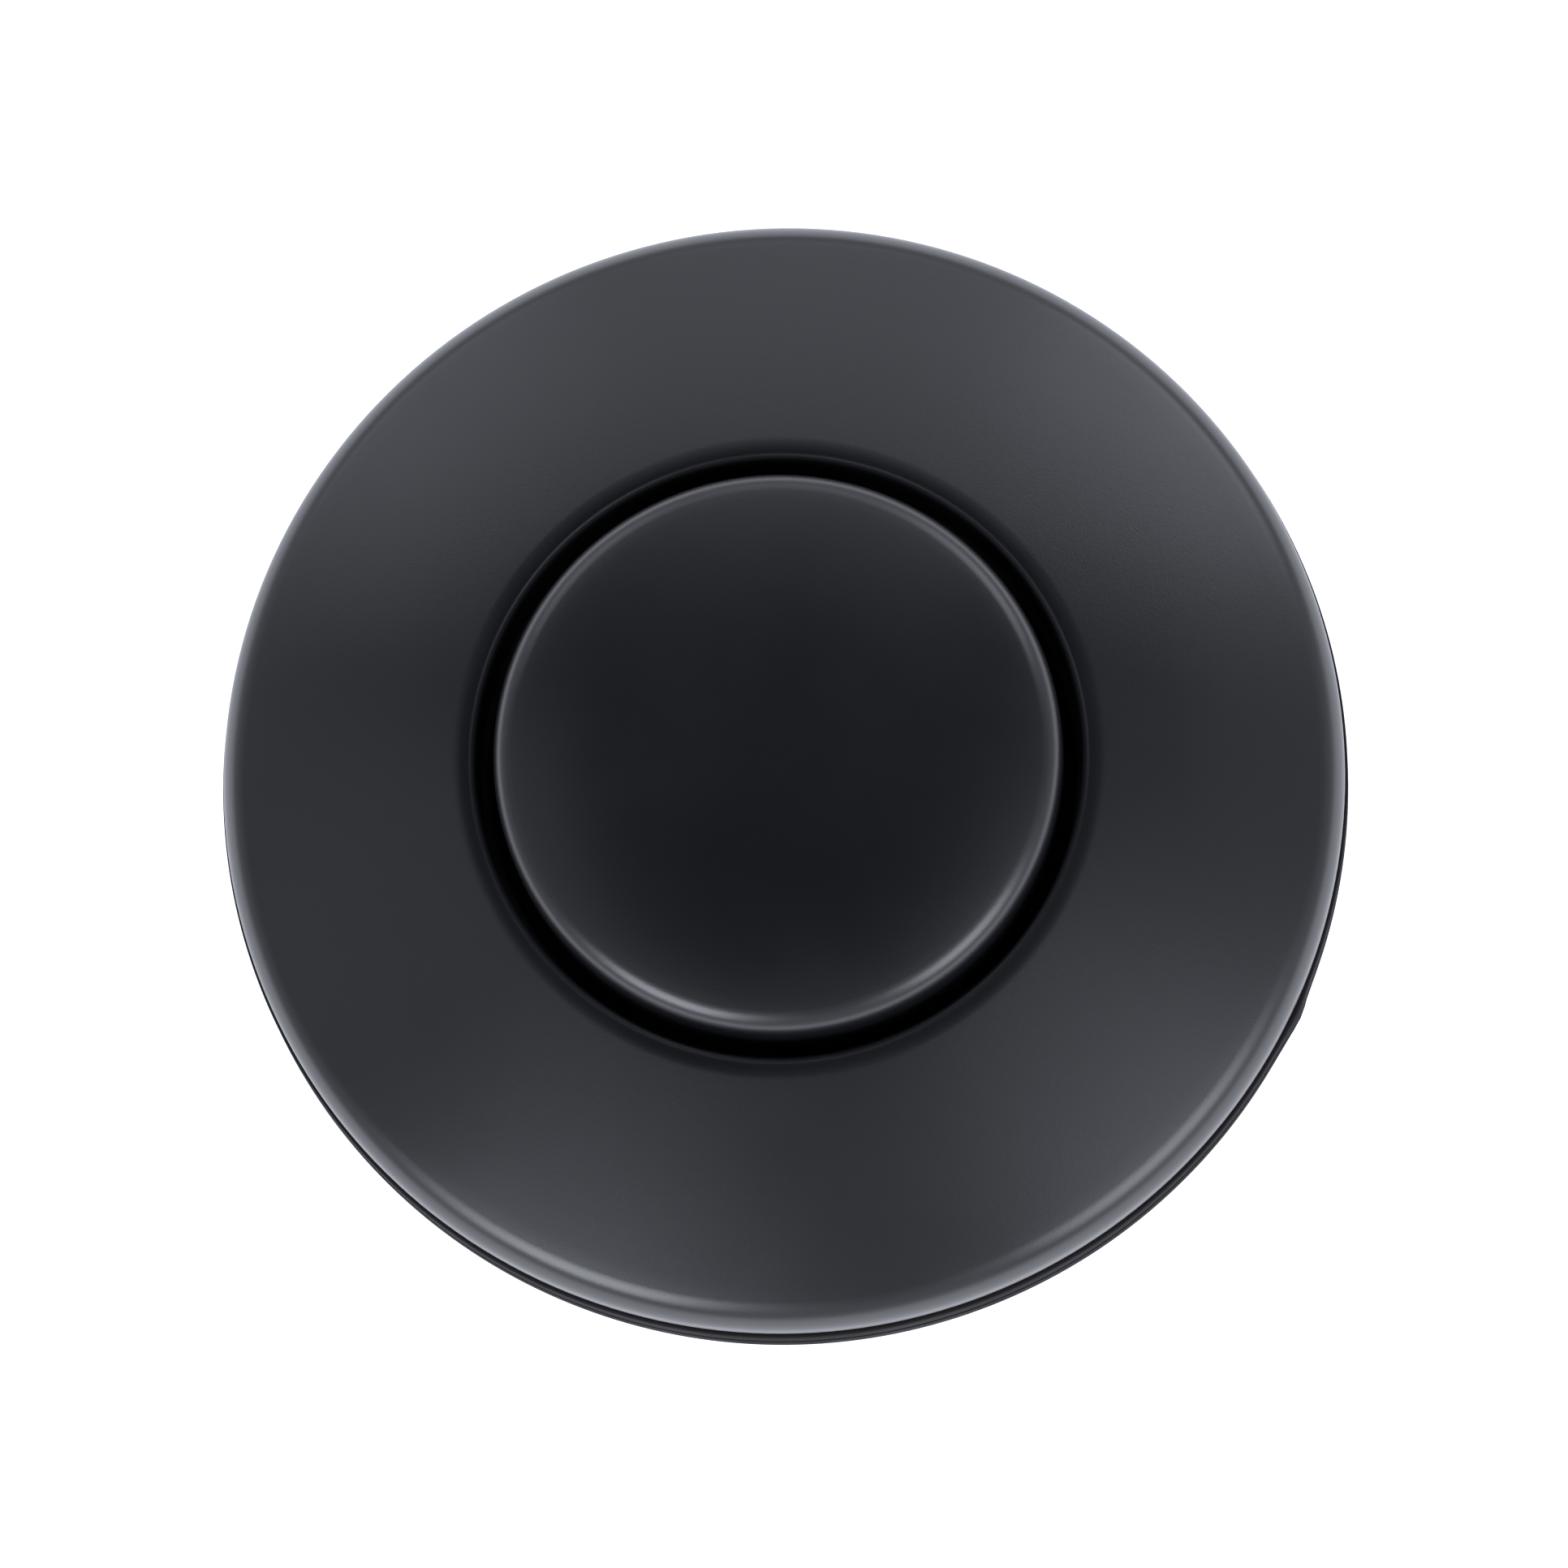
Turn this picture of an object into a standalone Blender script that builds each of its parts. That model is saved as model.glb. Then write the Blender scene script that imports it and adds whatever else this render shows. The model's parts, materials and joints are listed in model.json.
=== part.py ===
"""Sink-top air switch for a kitchen garbage disposal: a push button in a domed flange on a threaded shank.

Pressing the button squeezes a rubber bellows, and the puff of air leaves through the barb at the bottom.
The origin is on the button's axis in the plane of the countertop, and +Z points up out of the counter.
"""

import math

import bmesh
import bpy

MM = 0.001

# Driving dimensions --------------------------------------------------------------------------------------
BUTTON_RADIUS = 13.85 * MM
BUTTON_GAP = 1.05 * MM  # open ring between the button and the flange
FLANGE_WIDTH = 12.6 * MM  # visible ring, from the button's bore to the outer edge
GASKET_THICKNESS = 2.6 * MM
RIM_WALL = 0.4 * MM  # upright edge of the flange, above the gasket
BUTTON_TRAVEL = 5.0 * MM
BUTTON_PROUD = 0.7 * MM  # the button's widest ring, above the flange's crest
SHANK_LENGTH = 38.0 * MM  # below the countertop
THREAD_PITCH = 2.5 * MM
THREAD_DEPTH = 1.3 * MM
COUNTER_THICKNESS = 19.0 * MM  # gap that the nut is left at
NUT_HEIGHT = 8.0 * MM
BARB_LENGTH = 12.0 * MM

# Clearances ----------------------------------------------------------------------------------------------
SEAT_GAP = 0.3 * MM  # between two pieces that rest on each other
SLIDE_GAP = 0.2 * MM  # all round a piece that slides in another
SKIRT_GAP = 0.5 * MM  # all round the button's skirt inside the shank
THREAD_GAP = 0.25 * MM  # radial
THREAD_SIDE_GAP = 0.12 * MM  # along the axis, on each flank

# Flange (trim ring) --------------------------------------------------------------------------------------
SHELL_WALL = 1.5 * MM
RIM_FILLET = 2.4 * MM
DOME_SLOPE_OUTER = math.radians(21)
DOME_SLOPE_INNER = math.radians(15)
CREST_WIDTH = 1.6 * MM
CREST_SLOPE = math.radians(2)  # inward slope where the crest meets the lip
LIP_FILLET = 0.45 * MM
TUBE_WALL = 2.0 * MM
COLLAR_WALL = 1.9 * MM
BODY_SHELF = 3.2 * MM  # body flange beyond its collar
BODY_FLANGE_THICKNESS = 1.3 * MM
WEB_THICKNESS = 1.1 * MM  # body flange below the tube
GASKET_INSET = 0.1 * MM
GASKET_TAB_RADIUS = 1.9 * MM
GASKET_TAB_REACH = 0.25 * MM  # beyond the flange's edge
GASKET_TAB_ANGLE = math.radians(-25)
O_RING_WIRE = 0.4 * MM  # section radius of the collar's ring

# Button --------------------------------------------------------------------------------------------------
CROWN_RISE = 1.05 * MM
CAP_FILLET = 1.3 * MM
CAP_EDGE_SLOPE = math.radians(14)
SKIRT_DEPTH = 3.5 * MM  # below the widest ring
CAP_WALL = 1.4 * MM
CAP_ROOF = 1.6 * MM
BOSS_RADIUS = 2.9 * MM
BOSS_LENGTH = 5.4 * MM
PLUNGER_PLATE = 1.6 * MM
STEM_RADIUS = 6.0 * MM
STEM_FLAT = 0.8 * MM  # depth of the flat that stops the button turning
STEM_HOLLOW = 3.4 * MM
STEM_WEB = 1.7 * MM
CLIP_GROOVE_DEPTH = 0.8 * MM
CLIP_THICKNESS = 0.7 * MM
CLIP_WIDTH = 2.9 * MM
CLIP_GAP_ANGLE = math.radians(90)

# Shank and what is inside it -----------------------------------------------------------------------------
NECK_WALL = 1.4 * MM
STOP_GAP = 1.8 * MM  # below the skirt when the button is fully down
WELL_DEPTH = 6.2 * MM
WELL_WALL = 4.6 * MM
NECK_LENGTH = 1.5 * MM  # plain shank above the thread, below the countertop
SPRING_WIRE = 0.375 * MM  # radius
SPRING_COILS = 5
SPRING_CLEARANCE = 1.1 * MM  # between the coils and the well's wall
WASHER_THICKNESS = 0.4 * MM
SEAL_HEIGHT = 1.4 * MM
BUSH_HEIGHT = 2.4 * MM
BUSH_WALL = 1.7 * MM
GUIDE_LIP = 0.6 * MM
CHAMBER_WALL = 4.1 * MM  # from the thread's root to the bellows chamber
STEM_TAIL = 2.0 * MM  # stem below its clip
PAD_THICKNESS = 2.4 * MM
BELLOWS_WALL = 0.9 * MM
BELLOWS_DEPTH = 2.6 * MM  # of one convolution
BELLOWS_FOLDS = 5
BELLOWS_FLANGE = 1.4 * MM
BELLOWS_MOUTH = 5.0 * MM
FLANGE_SEAT = 0.9 * MM  # step that the bellows' flange sits in

# Base cap and barb ---------------------------------------------------------------------------------------
BASE_THICKNESS = 2.7 * MM
BASE_HUB_RADIUS = 5.0 * MM
BASE_HUB_LENGTH = 5.7 * MM
BASE_NOZZLE_HEIGHT = 3.0 * MM
AIR_WAY = 1.2 * MM
SCREW_COUNT = 3
BASE_SCREW_RADIUS = 0.9 * MM
BASE_SCREW_HEAD = 1.35 * MM
BASE_SCREW_LENGTH = 7.5 * MM
CAP_SCREW_RADIUS = 1.2 * MM
CAP_SCREW_HEAD = 2.4 * MM
BARB_SPIGOT_RADIUS = 2.5 * MM
BARB_FLANGE_RADIUS = 4.0 * MM
BARB_FLANGE_THICKNESS = 2.0 * MM
BARB_NECK = 1.9 * MM
BARB_RIDGE = 2.6 * MM
BARB_COUNT = 3
SMALL_O_RING_WIRE = 0.5 * MM

# Clamp under the counter ---------------------------------------------------------------------------------
CLAMP_RADIUS = 22.0 * MM
CLAMP_BORE_GAP = 0.6 * MM
RUBBER_THICKNESS = 2.0 * MM
SLIP_THICKNESS = 1.0 * MM
NUT_FLANGE_RADIUS = 21.5 * MM
NUT_FLANGE_THICKNESS = 2.0 * MM
NUT_HUB_WALL = 2.6 * MM
WING_COUNT = 6
WING_REACH = 3.4 * MM

# Facets --------------------------------------------------------------------------------------------------
FACETS_SEEN = 48
FACETS_THREAD = 24
FACETS_INSIDE = 24
FACETS_SMALL = 16
WIRE_FACETS = 7

# Radii and heights that follow ---------------------------------------------------------------------------
BORE_RADIUS = BUTTON_RADIUS + BUTTON_GAP
FLANGE_RADIUS = BORE_RADIUS + FLANGE_WIDTH
TUBE_RADIUS = BORE_RADIUS + TUBE_WALL
COLLAR_BORE = TUBE_RADIUS + SEAT_GAP
COLLAR_RADIUS = COLLAR_BORE + COLLAR_WALL
BODY_FLANGE_RADIUS = COLLAR_RADIUS + BODY_SHELF
RECESS_RADIUS = BUTTON_RADIUS + SKIRT_GAP
SHANK_RADIUS = RECESS_RADIUS + NECK_WALL
ROOT_RADIUS = SHANK_RADIUS - THREAD_DEPTH
WELL_RADIUS = SHANK_RADIUS - WELL_WALL
CHAMBER_RADIUS = ROOT_RADIUS - CHAMBER_WALL
SEAT_RADIUS = CHAMBER_RADIUS + FLANGE_SEAT
GUIDE_RADIUS = STEM_RADIUS + SLIDE_GAP + BUSH_WALL + SLIDE_GAP
SCREW_CIRCLE = (SEAT_RADIUS + ROOT_RADIUS) / 2 - SEAT_GAP / 2

SHELF_BOTTOM = GASKET_THICKNESS + SEAT_GAP
SHELF_TOP = SHELF_BOTTOM + BODY_FLANGE_THICKNESS
TUBE_BOTTOM = SHELF_BOTTOM + WEB_THICKNESS + SEAT_GAP
RIM_TOP = SHELF_BOTTOM + RIM_WALL
WELL_FLOOR = -WELL_DEPTH
GUIDE_FLOOR = WELL_FLOOR - SEAL_HEIGHT - BUSH_HEIGHT - 3 * SEAT_GAP
CHAMBER_ROOF = GUIDE_FLOOR - GUIDE_LIP
CLIP_TOP = CHAMBER_ROOF - SEAT_GAP
STEM_BOTTOM = CLIP_TOP - CLIP_THICKNESS - STEM_TAIL
PAD_BOTTOM = STEM_BOTTOM - SEAT_GAP - PAD_THICKNESS
BELLOWS_TOP = PAD_BOTTOM - SEAT_GAP
SHANK_BOTTOM = -SHANK_LENGTH
BASE_TOP = SHANK_BOTTOM - SEAT_GAP
BASE_BOTTOM = BASE_TOP - BASE_THICKNESS
HUB_BOTTOM = BASE_BOTTOM - BASE_HUB_LENGTH
BARB_SEAT = HUB_BOTTOM - SEAT_GAP
RUBBER_TOP = -COUNTER_THICKNESS
SLIP_TOP = RUBBER_TOP - RUBBER_THICKNESS - SEAT_GAP
NUT_TOP = SLIP_TOP - SLIP_THICKNESS - SEAT_GAP


# Outlines ------------------------------------------------------------------------------------------------
def arc(centre, radius, start, end, count):
    """Points (r, z) on an arc. An angle is that of the surface's normal, from +Z towards +r."""
    step = (end - start) / count
    angles = [start + step * i for i in range(count + 1)]
    return [(centre[0] + radius * math.sin(a), centre[1] + radius * math.cos(a)) for a in angles]


def section_circle(radius, height, wire, count=WIRE_FACETS):
    """Outline of a round ring's section."""
    return arc((radius, height), wire, 0, 2 * math.pi * (count - 1) / count, count - 1)


def dome():
    """Centre and radius of the flange's top arc, and of its crest, from the slopes at their ends."""
    outer_r = FLANGE_RADIUS - RIM_FILLET * (1 - math.sin(DOME_SLOPE_OUTER))
    outer_z = RIM_TOP + RIM_FILLET * math.cos(DOME_SLOPE_OUTER)
    inner_r = BORE_RADIUS + CREST_WIDTH
    radius = (outer_r - inner_r) / (math.sin(DOME_SLOPE_OUTER) - math.sin(DOME_SLOPE_INNER))
    centre = (
        outer_r - radius * math.sin(DOME_SLOPE_OUTER),
        outer_z - radius * math.cos(DOME_SLOPE_OUTER),
    )
    inner_z = centre[1] + radius * math.cos(DOME_SLOPE_INNER)
    crest_end = BORE_RADIUS + LIP_FILLET * (1 - math.sin(CREST_SLOPE))
    crest_radius = (inner_r - crest_end) / (math.sin(DOME_SLOPE_INNER) + math.sin(CREST_SLOPE))
    crest_centre = (
        inner_r - crest_radius * math.sin(DOME_SLOPE_INNER),
        inner_z - crest_radius * math.cos(DOME_SLOPE_INNER),
    )
    return centre, radius, crest_centre, crest_radius


DOME_CENTRE, DOME_RADIUS, CREST_CENTRE, CREST_RADIUS = dome()


def dome_underside(radius):
    """Height of the flange's inside at a radius."""
    under = DOME_RADIUS - SHELL_WALL
    return DOME_CENTRE[1] + math.sqrt(under**2 - (radius - DOME_CENTRE[0]) ** 2)


COLLAR_TOP = dome_underside(COLLAR_RADIUS) - 1.5 * SEAT_GAP
FLANGE_CREST = CREST_CENTRE[1] + CREST_RADIUS
CAP_WIDEST = FLANGE_CREST + BUTTON_PROUD
CAP_SHOULDER = CAP_WIDEST + CAP_FILLET * math.cos(CAP_EDGE_SLOPE)
CAP_TOP = CAP_SHOULDER + CROWN_RISE
SKIRT_BOTTOM = CAP_WIDEST - SKIRT_DEPTH
RECESS_FLOOR = SKIRT_BOTTOM - BUTTON_TRAVEL - STOP_GAP
ROOF_UNDERSIDE = CAP_SHOULDER + CROWN_RISE - CAP_ROOF
BOSS_BOTTOM = ROOF_UNDERSIDE - BOSS_LENGTH
PLATE_TOP = CAP_SHOULDER - CAP_ROOF - SEAT_GAP
PLATE_BOTTOM = PLATE_TOP - PLUNGER_PLATE
SOCKET_FLOOR = BOSS_BOTTOM - SEAT_GAP
HOLLOW_ROOF = SOCKET_FLOOR - STEM_WEB
UPPER_WASHER_BOTTOM = PLATE_BOTTOM - SEAT_GAP - WASHER_THICKNESS
LOWER_WASHER_TOP = WELL_FLOOR + SEAT_GAP + WASHER_THICKNESS
SPRING_RADIUS = WELL_RADIUS - SPRING_CLEARANCE - SPRING_WIRE


def flange_outline():
    lip_end = arc(CREST_CENTRE, CREST_RADIUS, DOME_SLOPE_INNER, -CREST_SLOPE, 6)[-1]
    lip_centre = (
        lip_end[0] + LIP_FILLET * math.sin(CREST_SLOPE),
        lip_end[1] - LIP_FILLET * math.cos(CREST_SLOPE),
    )
    under = DOME_RADIUS - SHELL_WALL
    tube_slope = math.asin((TUBE_RADIUS - DOME_CENTRE[0]) / under)
    rim_inner = FLANGE_RADIUS - SHELL_WALL
    return (
        arc((FLANGE_RADIUS - RIM_FILLET, RIM_TOP), RIM_FILLET, math.pi / 2, DOME_SLOPE_OUTER, 5)
        + arc(DOME_CENTRE, DOME_RADIUS, DOME_SLOPE_OUTER, DOME_SLOPE_INNER, 5)[1:]
        + arc(CREST_CENTRE, CREST_RADIUS, DOME_SLOPE_INNER, -CREST_SLOPE, 5)[1:]
        + arc(lip_centre, LIP_FILLET, -CREST_SLOPE, -math.pi / 2, 3)[1:]
        + [(BORE_RADIUS, TUBE_BOTTOM), (TUBE_RADIUS, TUBE_BOTTOM)]
        + arc(DOME_CENTRE, under, tube_slope, DOME_SLOPE_OUTER, 4)
        + [(rim_inner, SHELF_BOTTOM), (FLANGE_RADIUS, SHELF_BOTTOM)]
    )


def crown(count):
    """Top of the button from its centre to its shoulder, a cubic that starts flat."""
    reach = BUTTON_RADIUS - CAP_FILLET * (1 - math.sin(CAP_EDGE_SLOPE))
    return [(reach * i / count, CAP_TOP - CROWN_RISE * (i / count) ** 3) for i in range(count + 1)]


def cap_outline():
    inner = BUTTON_RADIUS - CAP_WALL
    tapped = CAP_SCREW_RADIUS + SLIDE_GAP / 2
    edge_centre = (BUTTON_RADIUS - CAP_FILLET, CAP_WIDEST)
    return (
        crown(6)
        + arc(edge_centre, CAP_FILLET, CAP_EDGE_SLOPE, math.pi / 2, 5)[1:]
        + [(BUTTON_RADIUS, SKIRT_BOTTOM), (inner, SKIRT_BOTTOM), (inner, PLATE_TOP + SEAT_GAP)]
        + [(BOSS_RADIUS, ROOF_UNDERSIDE), (BOSS_RADIUS, BOSS_BOTTOM), (tapped, BOSS_BOTTOM)]
        + [(tapped, ROOF_UNDERSIDE), (0, ROOF_UNDERSIDE)]
    )


def plunger_outline():
    plate = BUTTON_RADIUS - CAP_WALL - SKIRT_GAP
    socket = BOSS_RADIUS + SLIDE_GAP
    screw_hole = CAP_SCREW_RADIUS + SLIDE_GAP
    groove = STEM_RADIUS - STEM_FLAT - CLIP_GROOVE_DEPTH
    groove_top = CLIP_TOP + SLIDE_GAP
    groove_bottom = CLIP_TOP - CLIP_THICKNESS - SLIDE_GAP
    return [
        (plate, PLATE_TOP),
        (socket, PLATE_TOP),
        (socket, SOCKET_FLOOR),
        (screw_hole, SOCKET_FLOOR),
        (screw_hole, HOLLOW_ROOF),
        (STEM_HOLLOW, HOLLOW_ROOF),
        (STEM_HOLLOW, STEM_BOTTOM),
        (STEM_RADIUS - STEM_FLAT, STEM_BOTTOM),
        (STEM_RADIUS - STEM_FLAT, groove_bottom),
        (groove, groove_bottom),
        (groove, groove_top),
        (STEM_RADIUS, groove_top),
        (STEM_RADIUS, PLATE_BOTTOM),
        (plate, PLATE_BOTTOM),
    ]


def body_outline():
    """Shank, body flange and collar, before the thread and the screw holes are cut."""
    lip_bore = GUIDE_RADIUS - BUSH_WALL + SLIDE_GAP
    return [
        (COLLAR_BORE, SHELF_BOTTOM + WEB_THICKNESS),
        (RECESS_RADIUS, SHELF_BOTTOM + WEB_THICKNESS),
        (RECESS_RADIUS, RECESS_FLOOR),
        (WELL_RADIUS, RECESS_FLOOR),
        (WELL_RADIUS, WELL_FLOOR),
        (GUIDE_RADIUS, WELL_FLOOR),
        (GUIDE_RADIUS, GUIDE_FLOOR),
        (lip_bore, GUIDE_FLOOR),
        (lip_bore, CHAMBER_ROOF),
        (CHAMBER_RADIUS, CHAMBER_ROOF),
        (CHAMBER_RADIUS, SHANK_BOTTOM + BELLOWS_FLANGE + SEAT_GAP),
        (SEAT_RADIUS, SHANK_BOTTOM + BELLOWS_FLANGE + SEAT_GAP),
        (SEAT_RADIUS, SHANK_BOTTOM),
        (SHANK_RADIUS - THREAD_DEPTH, SHANK_BOTTOM),
        (SHANK_RADIUS, SHANK_BOTTOM + THREAD_DEPTH),
        (SHANK_RADIUS, SHELF_BOTTOM),
        (BODY_FLANGE_RADIUS, SHELF_BOTTOM),
        (BODY_FLANGE_RADIUS, SHELF_TOP),
        (COLLAR_RADIUS, SHELF_TOP),
        (COLLAR_RADIUS, COLLAR_TOP),
        (COLLAR_BORE, COLLAR_TOP),
    ]


def bellows_outline():
    """Folded wall with a closed top and a flange round its open mouth."""
    outer = CHAMBER_RADIUS - 2 * SLIDE_GAP - SEAT_GAP
    flange_top = SHANK_BOTTOM + BELLOWS_FLANGE
    folds_top = BELLOWS_TOP - BELLOWS_WALL
    folds_bottom = flange_top + BELLOWS_WALL
    step = (folds_top - folds_bottom) / (2 * BELLOWS_FOLDS)
    heights = [folds_top - step * i for i in range(2 * BELLOWS_FOLDS + 1)]
    outside = [(outer - (BELLOWS_DEPTH if i % 2 == 0 else 0), z) for i, z in enumerate(heights)]
    inside = [(r - BELLOWS_WALL, z) for r, z in outside]
    mouth_foot = SEAT_RADIUS - SEAT_GAP
    return (
        [(0, BELLOWS_TOP), (outside[0][0], BELLOWS_TOP)]
        + outside
        + [(outside[-1][0], flange_top), (mouth_foot, flange_top), (mouth_foot, SHANK_BOTTOM)]
        + [(BELLOWS_MOUTH, SHANK_BOTTOM), (BELLOWS_MOUTH, flange_top)]
        + inside[::-1]
        + [(0, folds_top)]
    )


def base_outline():
    spigot = BARB_SPIGOT_RADIUS + SLIDE_GAP
    nozzle = BELLOWS_MOUTH - SEAT_GAP
    nozzle_top = BASE_TOP + BASE_NOZZLE_HEIGHT
    spigot_roof = BASE_BOTTOM
    return [
        (AIR_WAY, nozzle_top),
        (AIR_WAY, spigot_roof),
        (spigot, spigot_roof),
        (spigot, HUB_BOTTOM),
        (BASE_HUB_RADIUS, HUB_BOTTOM),
        (BASE_HUB_RADIUS, BASE_BOTTOM),
        (ROOT_RADIUS - SEAT_GAP, BASE_BOTTOM),
        (ROOT_RADIUS - SEAT_GAP, BASE_TOP),
        (nozzle, BASE_TOP),
        (nozzle, nozzle_top),
    ]


def barb_outline():
    """Spigot, hexagon-sized flange and a row of ridges for the air tube, with a bore right through."""
    tip = BARB_SEAT - BARB_FLANGE_THICKNESS - BARB_LENGTH
    pitch = BARB_LENGTH / (BARB_COUNT + 1)
    ridges = []
    for i in range(BARB_COUNT):
        foot = tip + pitch * i
        ridges += [(BARB_NECK, foot), (BARB_RIDGE, foot + pitch)]
    flange_bottom = BARB_SEAT - BARB_FLANGE_THICKNESS
    groove = BARB_SPIGOT_RADIUS - SMALL_O_RING_WIRE - SEAT_GAP
    spigot_top = BASE_BOTTOM - SEAT_GAP
    ring = ring_height()
    return (
        [(AIR_WAY, tip)]
        + ridges
        + [(BARB_NECK, tip + pitch * BARB_COUNT), (BARB_NECK, flange_bottom)]
        + [(BARB_FLANGE_RADIUS, flange_bottom), (BARB_FLANGE_RADIUS, BARB_SEAT)]
        + [(BARB_SPIGOT_RADIUS, BARB_SEAT), (BARB_SPIGOT_RADIUS, ring - 2 * SMALL_O_RING_WIRE)]
        + [(groove, ring - 2 * SMALL_O_RING_WIRE), (groove, ring + 2 * SMALL_O_RING_WIRE)]
        + [(BARB_SPIGOT_RADIUS, ring + 2 * SMALL_O_RING_WIRE), (BARB_SPIGOT_RADIUS, spigot_top)]
        + [(AIR_WAY, spigot_top)]
    )


def ring_height():
    """Height of the small ring on the barb's spigot, half way up the hub."""
    return (BASE_BOTTOM + HUB_BOTTOM) / 2


def screw_outline(radius, head_radius, head_height, length):
    """A pan-head screw whose head's seat is at 0, with its shank up along +Z."""
    return [
        (0, -head_height),
        (head_radius * 0.7, -head_height),
        (head_radius, -head_height / 2),
        (head_radius, 0),
        (radius, 0),
        (radius, length - radius),
        (0, length),
    ]


def ring_outline(inner, outer, top, bottom):
    return [(inner, bottom), (outer, bottom), (outer, top), (inner, top)]


# Making solids -------------------------------------------------------------------------------------------
def material(name, colour, roughness, metallic=0.0):
    made = bpy.data.materials.new(name)
    made.use_nodes = True
    made.diffuse_color = (*colour, 1.0)
    shader = made.node_tree.nodes["Principled BSDF"]
    shader.inputs["Base Color"].default_value = (*colour, 1.0)
    shader.inputs["Roughness"].default_value = roughness
    shader.inputs["Metallic"].default_value = metallic
    return made


def solid(name, mesh, finish=None, parent=None, location=(0, 0, 0)):
    """Closes a bmesh into an object with its faces outwards."""
    bmesh.ops.remove_doubles(mesh, verts=mesh.verts, dist=1e-7)
    bmesh.ops.recalc_face_normals(mesh, faces=mesh.faces)
    data = bpy.data.meshes.new(name)
    mesh.to_mesh(data)
    mesh.free()
    data.shade_smooth()
    data.set_sharp_from_angle(angle=math.radians(35))
    made = bpy.data.objects.new(name, data)
    bpy.context.scene.collection.objects.link(made)
    made.location = location
    made.parent = parent
    if finish:
        data.materials.append(finish)
    return made


def turned(name, outline, facets, finish=None, parent=None, location=(0, 0, 0)):
    """Spins a closed outline of (r, z) points once round Z."""
    mesh = bmesh.new()
    points = [mesh.verts.new((r, 0, z)) for r, z in outline]
    edges = [mesh.edges.new(pair) for pair in zip(points, points[1:] + points[:1])]
    on_axis = [e for e in edges if all(v.co.x < 1e-9 for v in e.verts)]
    bmesh.ops.delete(mesh, geom=on_axis, context="EDGES_FACES")
    bmesh.ops.spin(
        mesh,
        geom=mesh.verts[:] + mesh.edges[:],
        axis=(0, 0, 1),
        cent=(0, 0, 0),
        angle=2 * math.pi,
        steps=facets,
        use_merge=True,
    )
    return solid(name, mesh, finish, parent, location)


def coil_cutter(name, inner, inner_half, outer, outer_half, bottom, turns):
    """Right-handed helical bar. Its section is a trapezium, narrower or wider at its outside."""
    mesh = bmesh.new()
    section = [(inner, -inner_half), (outer, -outer_half), (outer, outer_half), (inner, inner_half)]
    rows = []
    for i in range(int(turns * FACETS_THREAD) + 1):
        angle = 2 * math.pi * i / FACETS_THREAD
        rise = bottom + THREAD_PITCH * i / FACETS_THREAD
        across, along = math.cos(angle), math.sin(angle)
        rows.append([mesh.verts.new((r * across, r * along, rise + z)) for r, z in section])
    for low, high in zip(rows, rows[1:]):
        for k in range(4):
            mesh.faces.new((low[k], low[(k + 1) % 4], high[(k + 1) % 4], high[k]))
    mesh.faces.new(rows[0])
    mesh.faces.new(rows[-1][::-1])
    return hidden(solid(name, mesh))


def cylinder(name, radius, bottom, top, centre=(0, 0), facets=FACETS_SMALL):
    mesh = bmesh.new()
    bmesh.ops.create_cone(
        mesh, cap_ends=True, segments=facets, radius1=radius, radius2=radius, depth=top - bottom
    )
    return solid(name, mesh, location=(centre[0], centre[1], (top + bottom) / 2))


def hidden(made):
    made.hide_render = True
    made.display_type = "WIRE"
    return made


def boolean(made, other, operation):
    step = made.modifiers.new(other.name, "BOOLEAN")
    step.operation = operation
    step.solver = "EXACT"
    step.object = hidden(other)
    return made


def empty(name, height):
    """A marker on the axis that the moving pieces hang from."""
    made = bpy.data.objects.new(name, None)
    bpy.context.scene.collection.objects.link(made)
    made.location = (0, 0, height)
    return made


def on_circle(radius, index, count):
    angle = 2 * math.pi * index / count + math.pi / count
    return radius * math.cos(angle), radius * math.sin(angle)


# The thread ----------------------------------------------------------------------------------------------
GROOVE_ROOT_HALF = THREAD_PITCH / 10
GROOVE_MOUTH_HALF = 3 * THREAD_PITCH / 10


def groove_half(radius):
    """Half the width of the shank's groove at a radius."""
    share = (radius - ROOT_RADIUS) / THREAD_DEPTH
    return GROOVE_ROOT_HALF + share * (GROOVE_MOUTH_HALF - GROOVE_ROOT_HALF)


def shank_groove():
    outer = SHANK_RADIUS + THREAD_GAP
    bottom = SHANK_BOTTOM - THREAD_PITCH
    turns = (-NECK_LENGTH - GROOVE_MOUTH_HALF - bottom) / THREAD_PITCH
    return coil_cutter(
        "groove_cutter", ROOT_RADIUS, GROOVE_ROOT_HALF, outer, groove_half(outer), bottom, turns
    )


def nut_groove():
    """Room for the shank's ridge, half a pitch above its groove, in the nut's own height."""
    inner = ROOT_RADIUS - THREAD_GAP
    outer = SHANK_RADIUS + THREAD_GAP
    ridge = THREAD_PITCH / 2 + THREAD_SIDE_GAP
    first = SHANK_BOTTOM - THREAD_PITCH / 2
    below = math.floor((NUT_TOP - NUT_HEIGHT - first) / THREAD_PITCH) - 1
    bottom = first + below * THREAD_PITCH
    turns = math.ceil(NUT_HEIGHT / THREAD_PITCH) + 3
    inner_half, outer_half = ridge - groove_half(inner), ridge - groove_half(outer)
    return coil_cutter("nut_cutter", inner, inner_half, outer, outer_half, bottom - NUT_TOP, turns)


# Pieces --------------------------------------------------------------------------------------------------
def flat_on(made, limit, reach):
    """Presses the points beyond the plane x = limit back to it, out to reach, as a flat on a shaft."""
    for vertex in made.data.vertices:
        x, y, _ = vertex.co
        if x > limit and math.hypot(x, y) < reach:
            vertex.co.x = limit
    return made


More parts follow.
